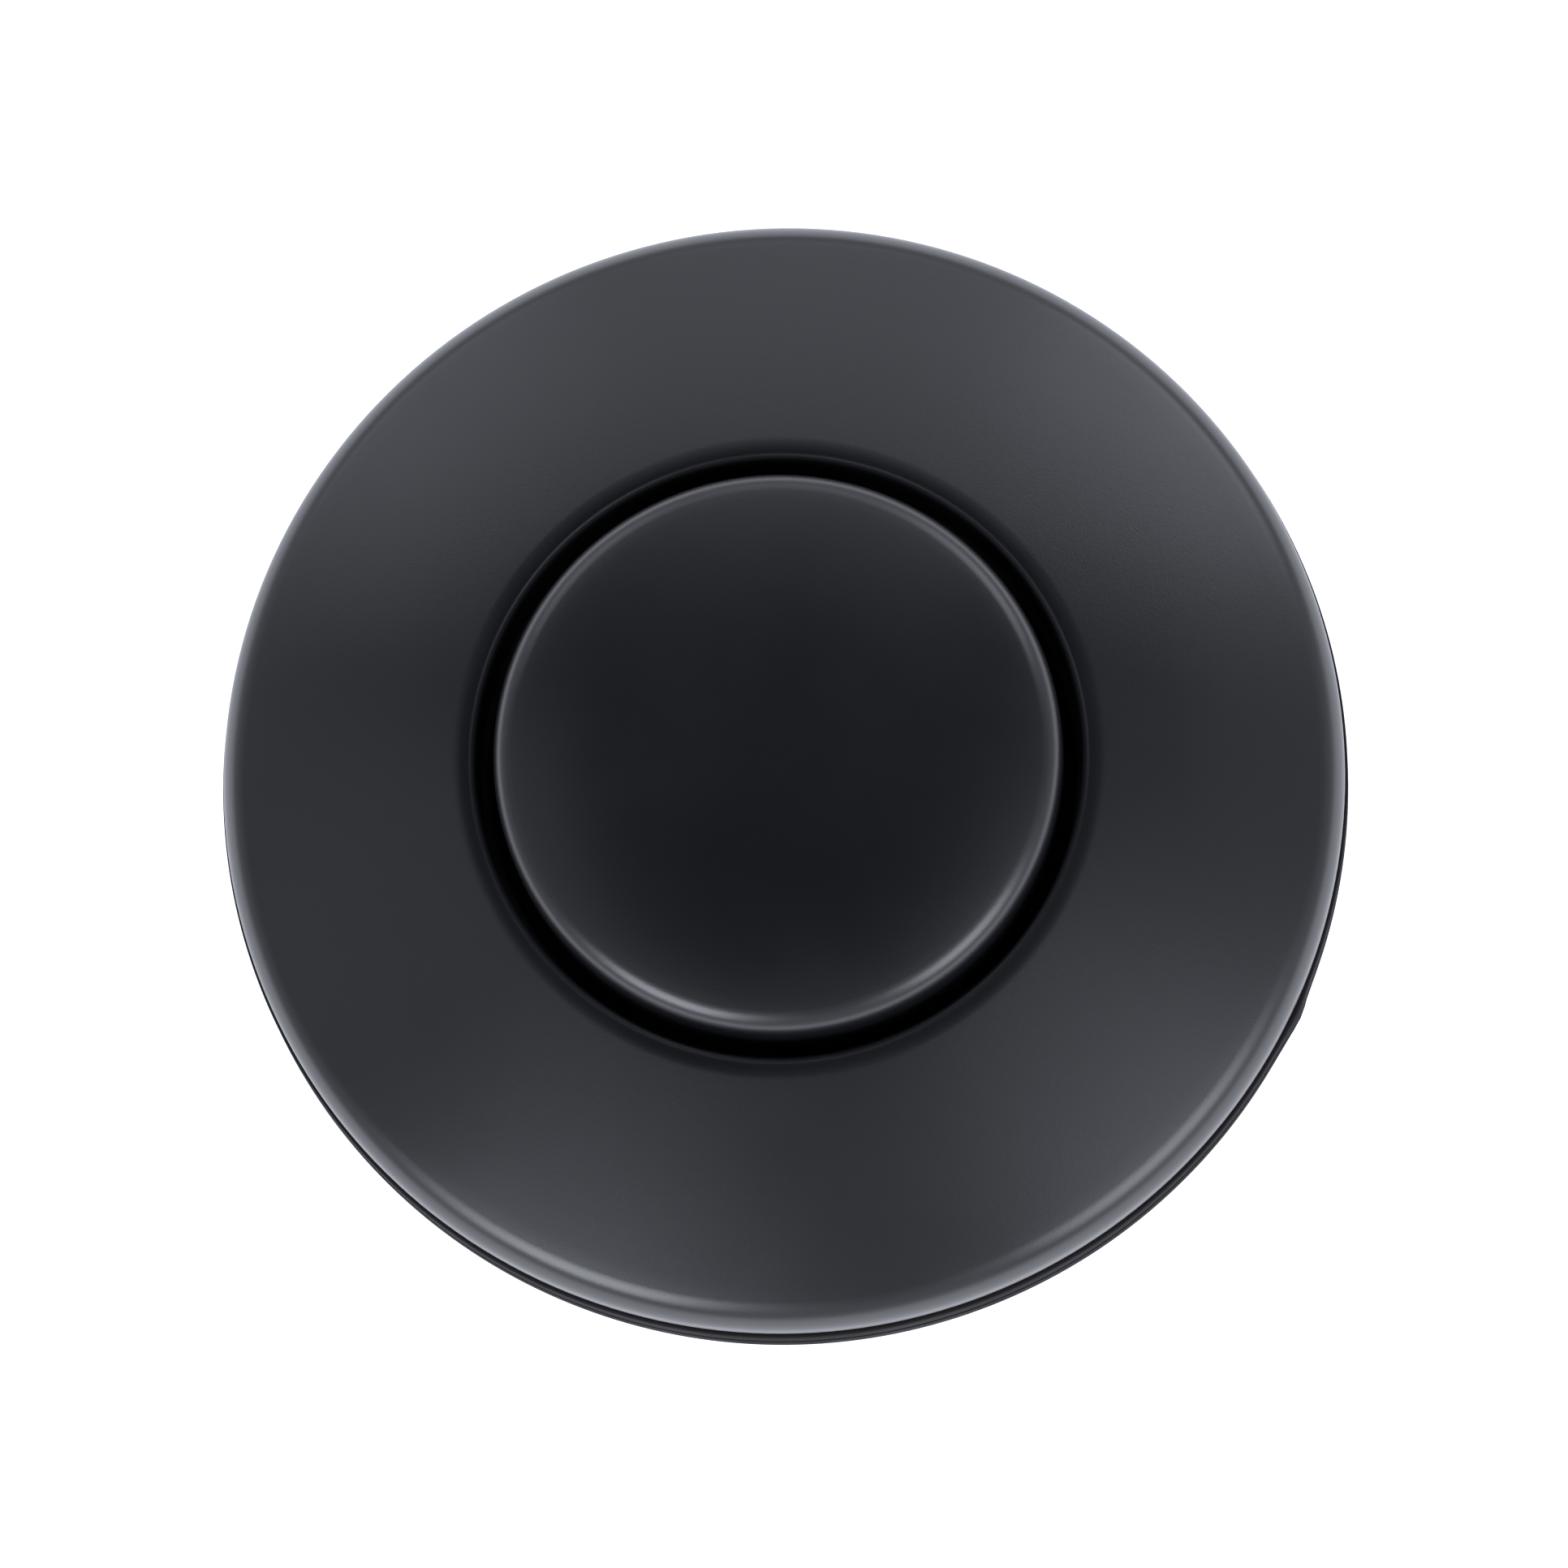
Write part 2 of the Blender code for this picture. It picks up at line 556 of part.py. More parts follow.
def counter_gasket(finish):
    outer = FLANGE_RADIUS - GASKET_INSET
    inner = SHANK_RADIUS + CLAMP_BORE_GAP
    made = turned("counter_gasket", ring_outline(inner, outer, GASKET_THICKNESS, 0), FACETS_SEEN, finish)
    reach = FLANGE_RADIUS + GASKET_TAB_REACH - GASKET_TAB_RADIUS
    centre = (reach * math.cos(GASKET_TAB_ANGLE), reach * math.sin(GASKET_TAB_ANGLE))
    margin = GASKET_THICKNESS / 6
    tab = cylinder("tab_shape", GASKET_TAB_RADIUS, margin, GASKET_THICKNESS - margin, centre)
    return boolean(made, tab, "UNION")


def switch_body(finish):
    made = turned("switch_body", body_outline(), FACETS_THREAD, finish)
    boolean(made, shank_groove(), "DIFFERENCE")
    for i in range(SCREW_COUNT):
        top = BASE_BOTTOM + BASE_SCREW_LENGTH + SEAT_GAP
        centre = on_circle(SCREW_CIRCLE, i, SCREW_COUNT)
        radius = BASE_SCREW_RADIUS + SLIDE_GAP / 2
        pilot = cylinder(f"pilot_{i + 1}", radius, SHANK_BOTTOM - SEAT_GAP, top, centre, 8)
        boolean(made, pilot, "DIFFERENCE")
    return made


def base_cap(finish):
    made = turned("base_cap", base_outline(), FACETS_INSIDE, finish)
    for i in range(SCREW_COUNT):
        centre = on_circle(SCREW_CIRCLE, i, SCREW_COUNT)
        radius = BASE_SCREW_RADIUS + SLIDE_GAP
        low, high = BASE_BOTTOM - SEAT_GAP, BASE_TOP + SEAT_GAP
        hole = cylinder(f"base_hole_{i + 1}", radius, low, high, centre, 8)
        boolean(made, hole, "DIFFERENCE")
    return made


def base_screws(finish):
    outline = screw_outline(BASE_SCREW_RADIUS, BASE_SCREW_HEAD, BASE_SCREW_HEAD * 0.8, BASE_SCREW_LENGTH)
    first = None
    for i in range(SCREW_COUNT):
        x, y = on_circle(SCREW_CIRCLE, i, SCREW_COUNT)
        place = (x, y, BASE_BOTTOM - SEAT_GAP)
        name = f"base_screw_{i + 1}"
        if first is None:
            first = turned(name, outline, 10, finish, location=place)
            continue
        copy = bpy.data.objects.new(name, first.data)
        bpy.context.scene.collection.objects.link(copy)
        copy.location = place


def return_spring(finish):
    """Coil with a closed turn at each end, between its two washers."""
    bottom = LOWER_WASHER_TOP + SEAT_GAP + SPRING_WIRE
    top = UPPER_WASHER_BOTTOM - SEAT_GAP - SPRING_WIRE
    closed = 2 * SPRING_WIRE + SLIDE_GAP
    per_turn = 14
    steps = SPRING_COILS * per_turn
    rows = []
    for i in range(steps + 1):
        turn = i / per_turn
        if turn < 1:
            height = bottom + closed * turn
        elif turn > SPRING_COILS - 1:
            height = top - closed * (SPRING_COILS - turn)
        else:
            share = (turn - 1) / (SPRING_COILS - 2)
            height = bottom + closed + share * (top - bottom - 2 * closed)
        angle = 2 * math.pi * turn
        rows.append((SPRING_RADIUS * math.cos(angle), SPRING_RADIUS * math.sin(angle), height))
    curve = bpy.data.curves.new("return_spring", "CURVE")
    curve.dimensions = "3D"
    curve.bevel_depth = SPRING_WIRE
    curve.bevel_resolution = 1
    curve.use_fill_caps = True
    spline = curve.splines.new("POLY")
    spline.points.add(len(rows) - 1)
    for point, row in zip(spline.points, rows):
        point.co = (*row, 1.0)
    curve.materials.append(finish)
    made = bpy.data.objects.new("return_spring", curve)
    bpy.context.scene.collection.objects.link(made)


def retaining_clip(finish, parent):
    """Open ring that snaps into the stem's groove and meets the guide's lip when the button is up."""
    inner = STEM_RADIUS - STEM_FLAT - CLIP_GROOVE_DEPTH + SLIDE_GAP
    outer = inner + CLIP_WIDTH
    mesh = bmesh.new()
    corners = ring_outline(inner, outer, CLIP_TOP, CLIP_TOP - CLIP_THICKNESS)
    face = mesh.faces.new([mesh.verts.new((r, 0, z)) for r, z in corners])
    bmesh.ops.spin(
        mesh,
        geom=[face] + face.edges[:] + face.verts[:],
        axis=(0, 0, 1),
        cent=(0, 0, 0),
        angle=2 * math.pi - CLIP_GAP_ANGLE,
        steps=FACETS_SMALL,
    )
    return solid("retaining_clip", mesh, finish, parent, (0, 0, -parent.location.z))


def mounting_nut(finish, parent):
    """Winged nut: a flange against the washer, and a hub with thick rounded wings round the thread."""
    bore = ROOT_RADIUS + THREAD_GAP
    hub = SHANK_RADIUS + THREAD_GAP + NUT_HUB_WALL
    chamfer = THREAD_GAP * 3
    levels = [
        (bore, -NUT_HEIGHT, 0),
        (hub - chamfer, -NUT_HEIGHT, 1),
        (hub, -NUT_HEIGHT + chamfer, 1),
        (hub, -NUT_FLANGE_THICKNESS - SEAT_GAP, 1),
        (hub, -NUT_FLANGE_THICKNESS, 0),
        (NUT_FLANGE_RADIUS, -NUT_FLANGE_THICKNESS, 0),
        (NUT_FLANGE_RADIUS, 0, 0),
        (bore, 0, 0),
    ]
    facets = FACETS_THREAD * 2
    mesh = bmesh.new()
    rings = []
    for radius, height, winged in levels:
        ring = []
        for i in range(facets):
            angle = 2 * math.pi * i / facets
            wing = WING_REACH * winged * max(0.0, math.cos(WING_COUNT * angle)) ** 0.7
            reach = radius + wing
            ring.append(mesh.verts.new((reach * math.cos(angle), reach * math.sin(angle), height)))
        rings.append(ring)
    for low, high in zip(rings, rings[1:] + rings[:1]):
        for i in range(facets):
            j = (i + 1) % facets
            mesh.faces.new((low[i], low[j], high[j], high[i]))
    made = solid("mounting_nut", mesh, finish, parent)
    cutter = nut_groove()
    cutter.parent = parent
    return boolean(made, cutter, "DIFFERENCE")


def main():
    for old in list(bpy.data.objects):
        bpy.data.objects.remove(old, do_unlink=True)

    black_metal = material("matte_black_metal", (0.012, 0.012, 0.014), 0.38, 0.0)
    black_rubber = material("black_rubber", (0.02, 0.02, 0.021), 0.75)
    black_plastic = material("black_plastic", (0.018, 0.018, 0.02), 0.45)
    white_acetal = material("white_acetal", (0.75, 0.74, 0.7), 0.35)
    steel = material("spring_steel", (0.6, 0.6, 0.62), 0.3, 1.0)
    brass = material("brass", (0.7, 0.5, 0.22), 0.3, 1.0)
    grey_rubber = material("bellows_rubber", (0.06, 0.06, 0.065), 0.7)

    # Fixed pieces, from the top down.
    turned("escutcheon", flange_outline(), FACETS_SEEN, black_metal)
    ring_z = SHELF_TOP + 2 * SLIDE_GAP + O_RING_WIRE - SEAT_GAP / 2
    ring_r = COLLAR_RADIUS + SLIDE_GAP + O_RING_WIRE
    turned("collar_o_ring", section_circle(ring_r, ring_z, O_RING_WIRE), FACETS_INSIDE, black_rubber)
    counter_gasket(black_rubber)
    switch_body(black_plastic)
    washer_bore, washer_edge = STEM_RADIUS + SEAT_GAP + SLIDE_GAP, WELL_RADIUS - SEAT_GAP
    lower_washer = ring_outline(
        washer_bore, washer_edge, LOWER_WASHER_TOP, LOWER_WASHER_TOP - WASHER_THICKNESS
    )
    turned("lower_spring_washer", lower_washer, FACETS_INSIDE, steel)
    return_spring(steel)
    seal_top = WELL_FLOOR - SEAT_GAP / 3
    bush_top = seal_top - SEAL_HEIGHT - SEAT_GAP
    guide_bore = STEM_RADIUS + SLIDE_GAP
    guide_outside = GUIDE_RADIUS - SLIDE_GAP
    stem_flat = STEM_RADIUS - STEM_FLAT
    for name, top, height, finish in (
        ("wiper_seal", seal_top, SEAL_HEIGHT, black_rubber),
        ("guide_bush", bush_top, BUSH_HEIGHT, white_acetal),
    ):
        outline = ring_outline(guide_bore, guide_outside, top, top - height)
        made = turned(name, outline, FACETS_INSIDE, finish)
        flat_on(made, stem_flat + SLIDE_GAP, guide_bore + SLIDE_GAP)
    turned("bellows", bellows_outline(), FACETS_INSIDE, grey_rubber)
    base_cap(black_plastic)
    base_screws(steel)
    turned("hose_barb", barb_outline(), FACETS_SMALL, brass)
    ring_centre = BARB_SPIGOT_RADIUS - SMALL_O_RING_WIRE / 2
    small_ring = section_circle(ring_centre, ring_height(), SMALL_O_RING_WIRE * 0.8, 6)
    turned("barb_o_ring", small_ring, FACETS_SMALL, black_rubber)

    # The button and all that travels with it.
    button = empty("button_axis", CAP_WIDEST)
    down = (0, 0, -CAP_WIDEST)
    turned("button_cap", cap_outline(), FACETS_SEEN - 8, black_metal, button, down)
    plunger = turned("plunger", plunger_outline(), FACETS_INSIDE, white_acetal, button, down)
    flat_on(plunger, stem_flat, STEM_RADIUS + SLIDE_GAP)
    screw = screw_outline(
        CAP_SCREW_RADIUS, CAP_SCREW_HEAD, CAP_SCREW_RADIUS, STEM_WEB + BOSS_LENGTH - CAP_SCREW_RADIUS
    )
    turned("cap_screw", screw, 12, steel, button, (0, 0, HOLLOW_ROOF - SEAT_GAP - CAP_WIDEST))
    upper_washer = ring_outline(
        washer_bore, washer_edge, UPPER_WASHER_BOTTOM + WASHER_THICKNESS, UPPER_WASHER_BOTTOM
    )
    turned("upper_spring_washer", upper_washer, FACETS_INSIDE, steel, button, down)
    retaining_clip(steel, button)
    pad = [
        (0, PAD_BOTTOM),
        (STEM_RADIUS, PAD_BOTTOM),
        (STEM_RADIUS, STEM_BOTTOM - SEAT_GAP),
        (STEM_HOLLOW - SLIDE_GAP, STEM_BOTTOM - SEAT_GAP),
        (STEM_HOLLOW - SLIDE_GAP, STEM_BOTTOM + PAD_THICKNESS / 2),
        (0, STEM_BOTTOM + PAD_THICKNESS / 2),
    ]
    turned("push_pad", pad, FACETS_INSIDE, black_rubber, button, down)

    # The clamp under the counter: two washers that ride up and down with the nut, and the nut.
    clamp = empty("clamp_axis", RUBBER_TOP)
    clamp_bore = SHANK_RADIUS + CLAMP_BORE_GAP
    rubber = ring_outline(clamp_bore, CLAMP_RADIUS, 0, -RUBBER_THICKNESS)
    turned("clamp_gasket", rubber, FACETS_INSIDE, black_rubber, clamp)
    slip = ring_outline(clamp_bore, CLAMP_RADIUS, 0, -SLIP_THICKNESS)
    turned("slip_washer", slip, FACETS_INSIDE, steel, clamp, (0, 0, SLIP_TOP - RUBBER_TOP))
    nut = empty("nut_axis", NUT_TOP)
    mounting_nut(black_plastic, nut)


main()
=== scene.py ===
"""Sink-top air switch: the finished look of every piece, a plain stage and a camera."""

import json
import math
from functools import lru_cache

import bmesh
import bpy
from bpy.props import FloatProperty, FloatVectorProperty, IntProperty, PointerProperty
from bpy.types import Operator, Panel, PropertyGroup
from mathutils import Matrix, Vector


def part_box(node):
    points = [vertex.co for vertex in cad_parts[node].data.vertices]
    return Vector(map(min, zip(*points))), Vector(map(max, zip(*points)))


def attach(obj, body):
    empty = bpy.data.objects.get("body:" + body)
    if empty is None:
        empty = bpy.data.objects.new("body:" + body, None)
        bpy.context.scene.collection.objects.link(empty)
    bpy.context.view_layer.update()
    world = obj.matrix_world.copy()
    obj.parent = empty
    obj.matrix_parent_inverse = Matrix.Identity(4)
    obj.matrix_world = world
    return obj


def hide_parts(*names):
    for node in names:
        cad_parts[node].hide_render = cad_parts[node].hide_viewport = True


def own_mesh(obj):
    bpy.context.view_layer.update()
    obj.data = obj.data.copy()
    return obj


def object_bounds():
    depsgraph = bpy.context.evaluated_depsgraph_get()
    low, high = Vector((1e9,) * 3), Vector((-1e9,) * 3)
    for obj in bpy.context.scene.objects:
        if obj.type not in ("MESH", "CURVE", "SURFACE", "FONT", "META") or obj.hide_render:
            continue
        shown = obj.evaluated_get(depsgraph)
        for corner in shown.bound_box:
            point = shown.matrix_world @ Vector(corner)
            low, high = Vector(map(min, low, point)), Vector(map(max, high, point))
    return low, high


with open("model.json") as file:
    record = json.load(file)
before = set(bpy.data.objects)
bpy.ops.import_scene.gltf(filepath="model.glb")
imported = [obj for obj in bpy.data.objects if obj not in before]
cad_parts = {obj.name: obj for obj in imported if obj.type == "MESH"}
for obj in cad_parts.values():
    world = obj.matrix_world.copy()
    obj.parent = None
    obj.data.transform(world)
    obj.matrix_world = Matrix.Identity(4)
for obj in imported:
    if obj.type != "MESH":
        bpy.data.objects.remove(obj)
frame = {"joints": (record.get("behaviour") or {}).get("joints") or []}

bl_info = {
    "name": "Sink-top air switch",
    "version": (1, 0, 0),
    "blender": (4, 5, 0),
    "location": "3D View > Sidebar > Air switch",
    "description": "Builds a push button for a countertop with its clamp, bellows and air barb",
    "category": "Add Mesh",
}

MM = 0.001
CAD_BOX = [list(corner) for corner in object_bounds()]
QUARTER = math.pi / 2
TURN = 2 * math.pi
SEAT_GAP = 0.3 * MM    # between pieces that seat on each other
SLIDE_GAP = 0.2 * MM    # round a piece that slides or turns in another
WASHER_GAP = 0.5 * MM    # round the stem, in the spring's washers
CLAMP_GAP = 0.6 * MM    # round the shank, in the rubber rings and the slip washer


# Places that come from the frame -------------------------------------------------------------------------
box = lru_cache(maxsize=None)(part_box)


def radius_of(node):
    return box(node)[1].x


def top_of(node):
    return box(node)[1].z


def bottom_of(node):
    return box(node)[0].z


def span_of(node):
    """Bottom, top and radius of a node."""
    low, high = box(node)
    return low.z, high.z, high.x


def button_travel():
    return next(joint for joint in frame["joints"] if joint["name"] == "button_press")["range_m"][1]


# Sizes and colours that a user may change ----------------------------------------------------------------
def length(name, description, mm, low=0.0):
    """A length whose default is given in millimetres."""
    return FloatProperty(
        name=name, description=description, default=mm * MM, min=low, precision=5, unit="LENGTH",
        subtype="DISTANCE",
    )


def angle(name, description, degrees):
    return FloatProperty(
        name=name, description=description, default=math.radians(degrees), unit="ROTATION", subtype="ANGLE"
    )


def colour(name, description, value):
    return FloatVectorProperty(
        name=name, description=description, default=value, size=3, min=0.0, max=1.0, subtype="COLOR"
    )


def share(name, description, value):
    return FloatProperty(name=name, description=description, default=value, min=0, max=1, subtype="FACTOR")


def count(name, description, value):
    return IntProperty(name=name, description=description, default=value, min=1)


class FlangeSizes(PropertyGroup):
    """The domed ring on the counter and the gasket under it."""

    bore: length("Bore", "Radius of the hole that the button stands in", 14.75)
    wall: length("Wall", "Thickness of the dome and of its rim", 1.5)
    rim_wall: length("Rim wall", "Upright edge below the rim's rounding", 0.7)
    rim_fillet: length("Rim rounding", "Radius of the outer edge", 1.9)
    outer_slope: angle("Outer slope", "Slope of the dome at the rim", 21)
    inner_slope: angle("Inner slope", "Slope of the dome where its crest begins", 15)
    crest_width: length("Crest width", "Ring round the bore over which the dome levels out", 1.2)
    crest_slope: angle("Crest slope", "Slope towards the bore where the crest meets the lip", 2)
    lip_fillet: length("Lip rounding", "Radius of the edge round the bore", 0.45)
    tube_wall: length("Tube wall", "Wall of the tube that drops into the body", 2.0)
    gasket_lap: length("Gasket lap", "How far the gasket stands out round the flange", 0.14)
    tab_angle: angle("Tab angle", "Where the gasket bulges out, from +X", -25)
    tab_width: length("Tab width", "Half the length of the bulge", 1.35)
    tab_reach: length("Tab reach", "How far the bulge stands out of the gasket", 0.2)


class ButtonSizes(PropertyGroup):
    """The round metal button."""

    edge_fillet: length("Edge rounding", "Radius of the button's top edge", 1.3)
    edge_slope: angle("Edge slope", "Slope of the crown where it meets the rounding", 14)
    crown_rise: length("Crown rise", "Height of the middle over the shoulder", 1.05)
    wall: length("Wall", "Thickness of the skirt", 1.4)
    roof: length("Roof", "Thickness of the top", 1.6)
    boss: length("Boss", "Radius of the screw boss underneath", 2.9)
    stem: length("Stem", "Radius of the plunger's stem", 6.0)
    stem_flat: length("Stem flat", "Depth of the flat along the stem", 0.8)
    stem_hollow: length("Stem hollow", "Radius of the hollow in the stem", 3.4)
    stem_web: length("Stem web", "Thickness of the stem above its hollow", 1.7)
    skirt: length("Skirt", "Depth of the skirt below the button's widest ring", 3.5)
    plate: length("Plate", "Thickness of the plunger's plate", 1.6)
    clip_groove: length("Clip groove", "Depth of the clip's groove in the stem", 0.8)
    clip_width: length("Clip width", "Width of the clip", 2.9)


class ThreadSizes(PropertyGroup):
    """The thread on the shank and in the nut."""

    pitch: length("Pitch", "Rise of one turn", 2.5)
    depth: length("Depth", "Radial height of the ridge", 1.3)
    gap: length("Gap", "Radial play between shank and nut", 0.25)
    neck: length("Neck", "Plain shank below the countertop", 1.5)
    per_turn: count("Points a turn", "Points along one turn of the thread", 96)


class ShankSizes(PropertyGroup):
    """The body's flange, collar and walls."""

    recess_gap: length("Recess gap", "Play round the button's skirt", 0.5)
    neck_wall: length("Neck wall", "Wall between the recess and the outside of the shank", 1.4)
    recess_depth: length("Recess depth", "Depth of the recess under the button, below the countertop", 0.8)
    web: length("Web", "Thickness of the body under the flange's tube", 1.1)
    collar_wall: length("Collar wall", "Wall of the collar round the flange's tube", 1.9)
    shelf: length("Shelf", "Body flange beyond its collar", 3.2)
    shelf_thickness: length("Shelf thickness", "Thickness of the body flange", 1.3)
    well_wall: length("Well wall", "Wall between the thread's crest and the spring's well", 4.6)
    chamber_wall: length("Chamber wall", "Wall between the thread's root and the bellows", 4.1)


class NutSizes(PropertyGroup):
    """The winged clamp nut."""

    wings: count("Wings", "Number of wings", 6)
    wing_reach: length("Wing reach", "How far a wing stands out of the hub", 3.4)
    hub_wall: length("Hub wall", "Wall of the hub round the thread", 2.6)
    flange: length("Flange thickness", "Thickness of the flange against the washer", 2.0)
    flange_radius: length("Flange radius", "Radius of the flange against the washer", 21.5)


class SpringSizes(PropertyGroup):
    """The return spring and the bellows."""

    wire: length("Wire", "Radius of the spring's wire", 0.375)
    coils: count("Coils", "Turns of the spring", 5)
    folds: count("Folds", "Folds of the bellows", 5)
    fold_depth: length("Fold depth", "Radial depth of one fold", 2.6)
    skin: length("Skin", "Wall of the bellows", 0.9)
    mouth: length("Mouth", "Radius of the bellows' open end", 5.0)
    spring_inset: length("Spring inset", "From the washer's edge to the spring", 0.8)


class BaseSizes(PropertyGroup):
    """The base of the shank and the air barb."""

    thickness: length("Thickness", "Plate of the base", 2.7)
    hub: length("Hub", "Radius of the hub that holds the barb", 5.0)
    spigot: length("Spigot", "Radius of the barb's spigot", 2.5)
    air_way: length("Air way", "Radius of the bore for the air", 1.2)
    barb_neck: length("Barb neck", "Radius of the barb between its ridges", 1.9)
    barb_ridge: length("Barb ridge", "Radius of the barb's ridges", 2.6)
    barb_flange: length("Barb flange", "Thickness of the barb's hexagon", 2.0)
    barbs: count("Ridges", "Number of ridges on the barb", 3)
    screws: count("Screws", "Number of screws in the base", 3)


class Finishes(PropertyGroup):
    """Colours of the finishes."""

    coat: colour("Black coat", "Powder coat of the flange and the button", (0.0098, 0.0104, 0.0124))
    coat_roughness: share("Coat roughness", "Spread of the coat's sheen", 0.30)
    rubber: colour("Rubber", "Gaskets and rings", (0.0072, 0.0062, 0.0062))
    bellows: colour("Bellows rubber", "Soft rubber of the bellows", (0.045, 0.045, 0.048))
    plastic: colour("Black plastic", "Body, base and nut", (0.0125, 0.0128, 0.014))
    acetal: colour("Acetal", "Plunger and bush", (0.72, 0.70, 0.64))
    steel: colour("Steel", "Spring, washers and screws", (0.40, 0.40, 0.41))
    brass: colour("Brass", "Air barb", (0.68, 0.47, 0.20))


class StageSizes(PropertyGroup):
    """Camera, lamps and floor."""

    distance: length("Camera distance", "From the flange to the camera", 700)
    width: length("View width", "Width that the view takes in at the flange", 76.9)
    tilt: angle("Tilt", "Lean of the camera from straight above", 11.0)
    azimuth: angle("Azimuth", "Side from which the camera looks, from -Y towards +X", 14)
    lamp_distance: length("Lamp distance", "From the button to each lamp", 600)
    lamp_power: FloatProperty(name="Lamp power", description="Scales the power of all lamps", default=0.46)
    lamp_size: length("Lamp size", "Side of a square lamp", 300)
    sky: FloatProperty(name="Surroundings", description="Brightness of the pale surroundings", default=0.45)
    tent_low: angle("Tent foot", "Angle from overhead below which the tent is fully bright", 72)
    tent_high: angle("Tent opening", "Angle from overhead above which it is dark", 28)
    floor: colour("Floor", "Colour of the floor", (0.12, 0.12, 0.12))
    floor_glow: FloatProperty(name="Floor glow", description="Light that the floor gives off", default=1.4)
    light: colour("Light", "Tint of the lamps, the tent and the floor", (0.86, 0.89, 1.0))
    aim_x: length("Aim X", "Where the camera looks, to the right of the axis", 0.0, -1.0)
    aim_y: length("Aim Y", "Where the camera looks, behind the axis", -0.24, -1.0)


class AirSwitchSettings(PropertyGroup):
    """Everything that the operators read."""

    flange: PointerProperty(type=FlangeSizes)
    button: PointerProperty(type=ButtonSizes)
    thread: PointerProperty(type=ThreadSizes)
    shank: PointerProperty(type=ShankSizes)
    nut: PointerProperty(type=NutSizes)
    spring: PointerProperty(type=SpringSizes)
    base: PointerProperty(type=BaseSizes)
    finish: PointerProperty(type=Finishes)
    stage: PointerProperty(type=StageSizes)


def settings():
    return bpy.context.scene.air_switch


# Node helpers --------------------------------------------------------------------------------------------
class Value:
    """A socket that sums and products can be written with."""

    def __init__(self, tree, socket):
        self.tree, self.socket = tree, socket

    def __add__(self, other):
        return self.tree.math("ADD", self, other)

    def __sub__(self, other):
        return self.tree.math("SUBTRACT", self, other)

    def __rsub__(self, other):
        return self.tree.math("SUBTRACT", other, self)

    def __mul__(self, other):
        return self.tree.math("MULTIPLY", self, other)

    def __truediv__(self, other):
        return self.tree.math("DIVIDE", self, other)

    __radd__, __rmul__ = __add__, __mul__


class Tree:
    """Short words for wiring nodes."""

    def __init__(self, tree):
        self.tree = tree

    def node(self, kind, **values):
        """Adds a node. A value names an attribute, an input, or in_0, in_1 for inputs by number."""
        made = self.tree.nodes.new(kind)
        for key, value in values.items():
            if key.startswith("in_"):
                self.feed(made.inputs[int(key[3:])], value)
            elif hasattr(made, key):
                setattr(made, key, value)
            else:
                self.feed(made.inputs[key.replace("_", " ").title()], value)
        return made

    def feed(self, socket, value):
        value = getattr(value, "socket", value)
        if isinstance(value, bpy.types.NodeSocket):
            self.tree.links.new(value, socket)
        elif isinstance(value, bpy.types.Node):
            self.tree.links.new(value.outputs[0], socket)
        else:
            socket.default_value = value

    def math(self, operation, a, b=0.0):
        return Value(self, self.node("ShaderNodeMath", operation=operation, in_0=a, in_1=b).outputs[0])

    def out(self, kind, name=0, **values):
        """Adds a node and returns one of its outputs, by name or number."""
        return Value(self, self.node(kind, **values).outputs[name])

    def noise(self, place, scale, detail, roughness=0.5):
        return self.out("ShaderNodeTexNoise", Vector=place, Scale=scale, Detail=detail, Roughness=roughness)

    def remap(self, value, low, high, to_low=0.0, to_high=1.0, smooth=True):
        made = self.node("ShaderNodeMapRange", interpolation_type="SMOOTHSTEP" if smooth else "LINEAR")
        for socket, item in zip(made.inputs, (value, low, high, to_low, to_high)):
            self.feed(socket, item)
        return Value(self, made.outputs[0])

    def polar(self, radius, bearing, height):
        """A point from its distance to Z, its bearing and its height."""
        across, along = radius * self.math("COSINE", bearing), radius * self.math("SINE", bearing)
        return self.node("ShaderNodeCombineXYZ", in_0=across, in_1=along, in_2=height)


def add_sockets(tree, way, sockets):
    """Adds named sockets (name, kind, default) to a group's interface."""
    for name, kind, default in sockets:
        made = tree.interface.new_socket(name, in_out=way, socket_type="NodeSocket" + kind)
        if default is not None:
            made.default_value = default


def named(tree, sockets):
    return {socket.name: Value(tree, socket) for socket in sockets}


def shader_group(name, inputs, outputs, fill):
    """A shader node group, built once."""
    if name in bpy.data.node_groups:
        return bpy.data.node_groups[name]
    group = bpy.data.node_groups.new(name, "ShaderNodeTree")
    add_sockets(group, "INPUT", [(n, "Float", v) for n, v in inputs])
    add_sockets(group, "OUTPUT", [(n, "Float", None) for n in outputs])
    tree, end = Tree(group), group.nodes.new("NodeGroupOutput")
    given = named(tree, group.nodes.new("NodeGroupInput").outputs)
    for socket, value in zip(end.inputs, fill(tree, given)):
        tree.feed(socket, value)
    return group


# Surface effects that several finishes share -------------------------------------------------------------
def fine_grain(tree, given):
    """Height of a fine pebbled skin, and a slow mottle over the whole piece."""
    place, scale = tree.out("ShaderNodeTexCoord", "Object"), given["Scale"]
    fine, slow = tree.noise(place, scale, 3.0, 0.6), tree.noise(place, given["Mottle scale"], 4.0)
    cells = tree.out("ShaderNodeTexVoronoi", "Distance", feature="SMOOTH_F1", Vector=place, Scale=scale * 1.4)
    return fine - cells * 0.5, tree.remap(slow, 0.3, 0.7)


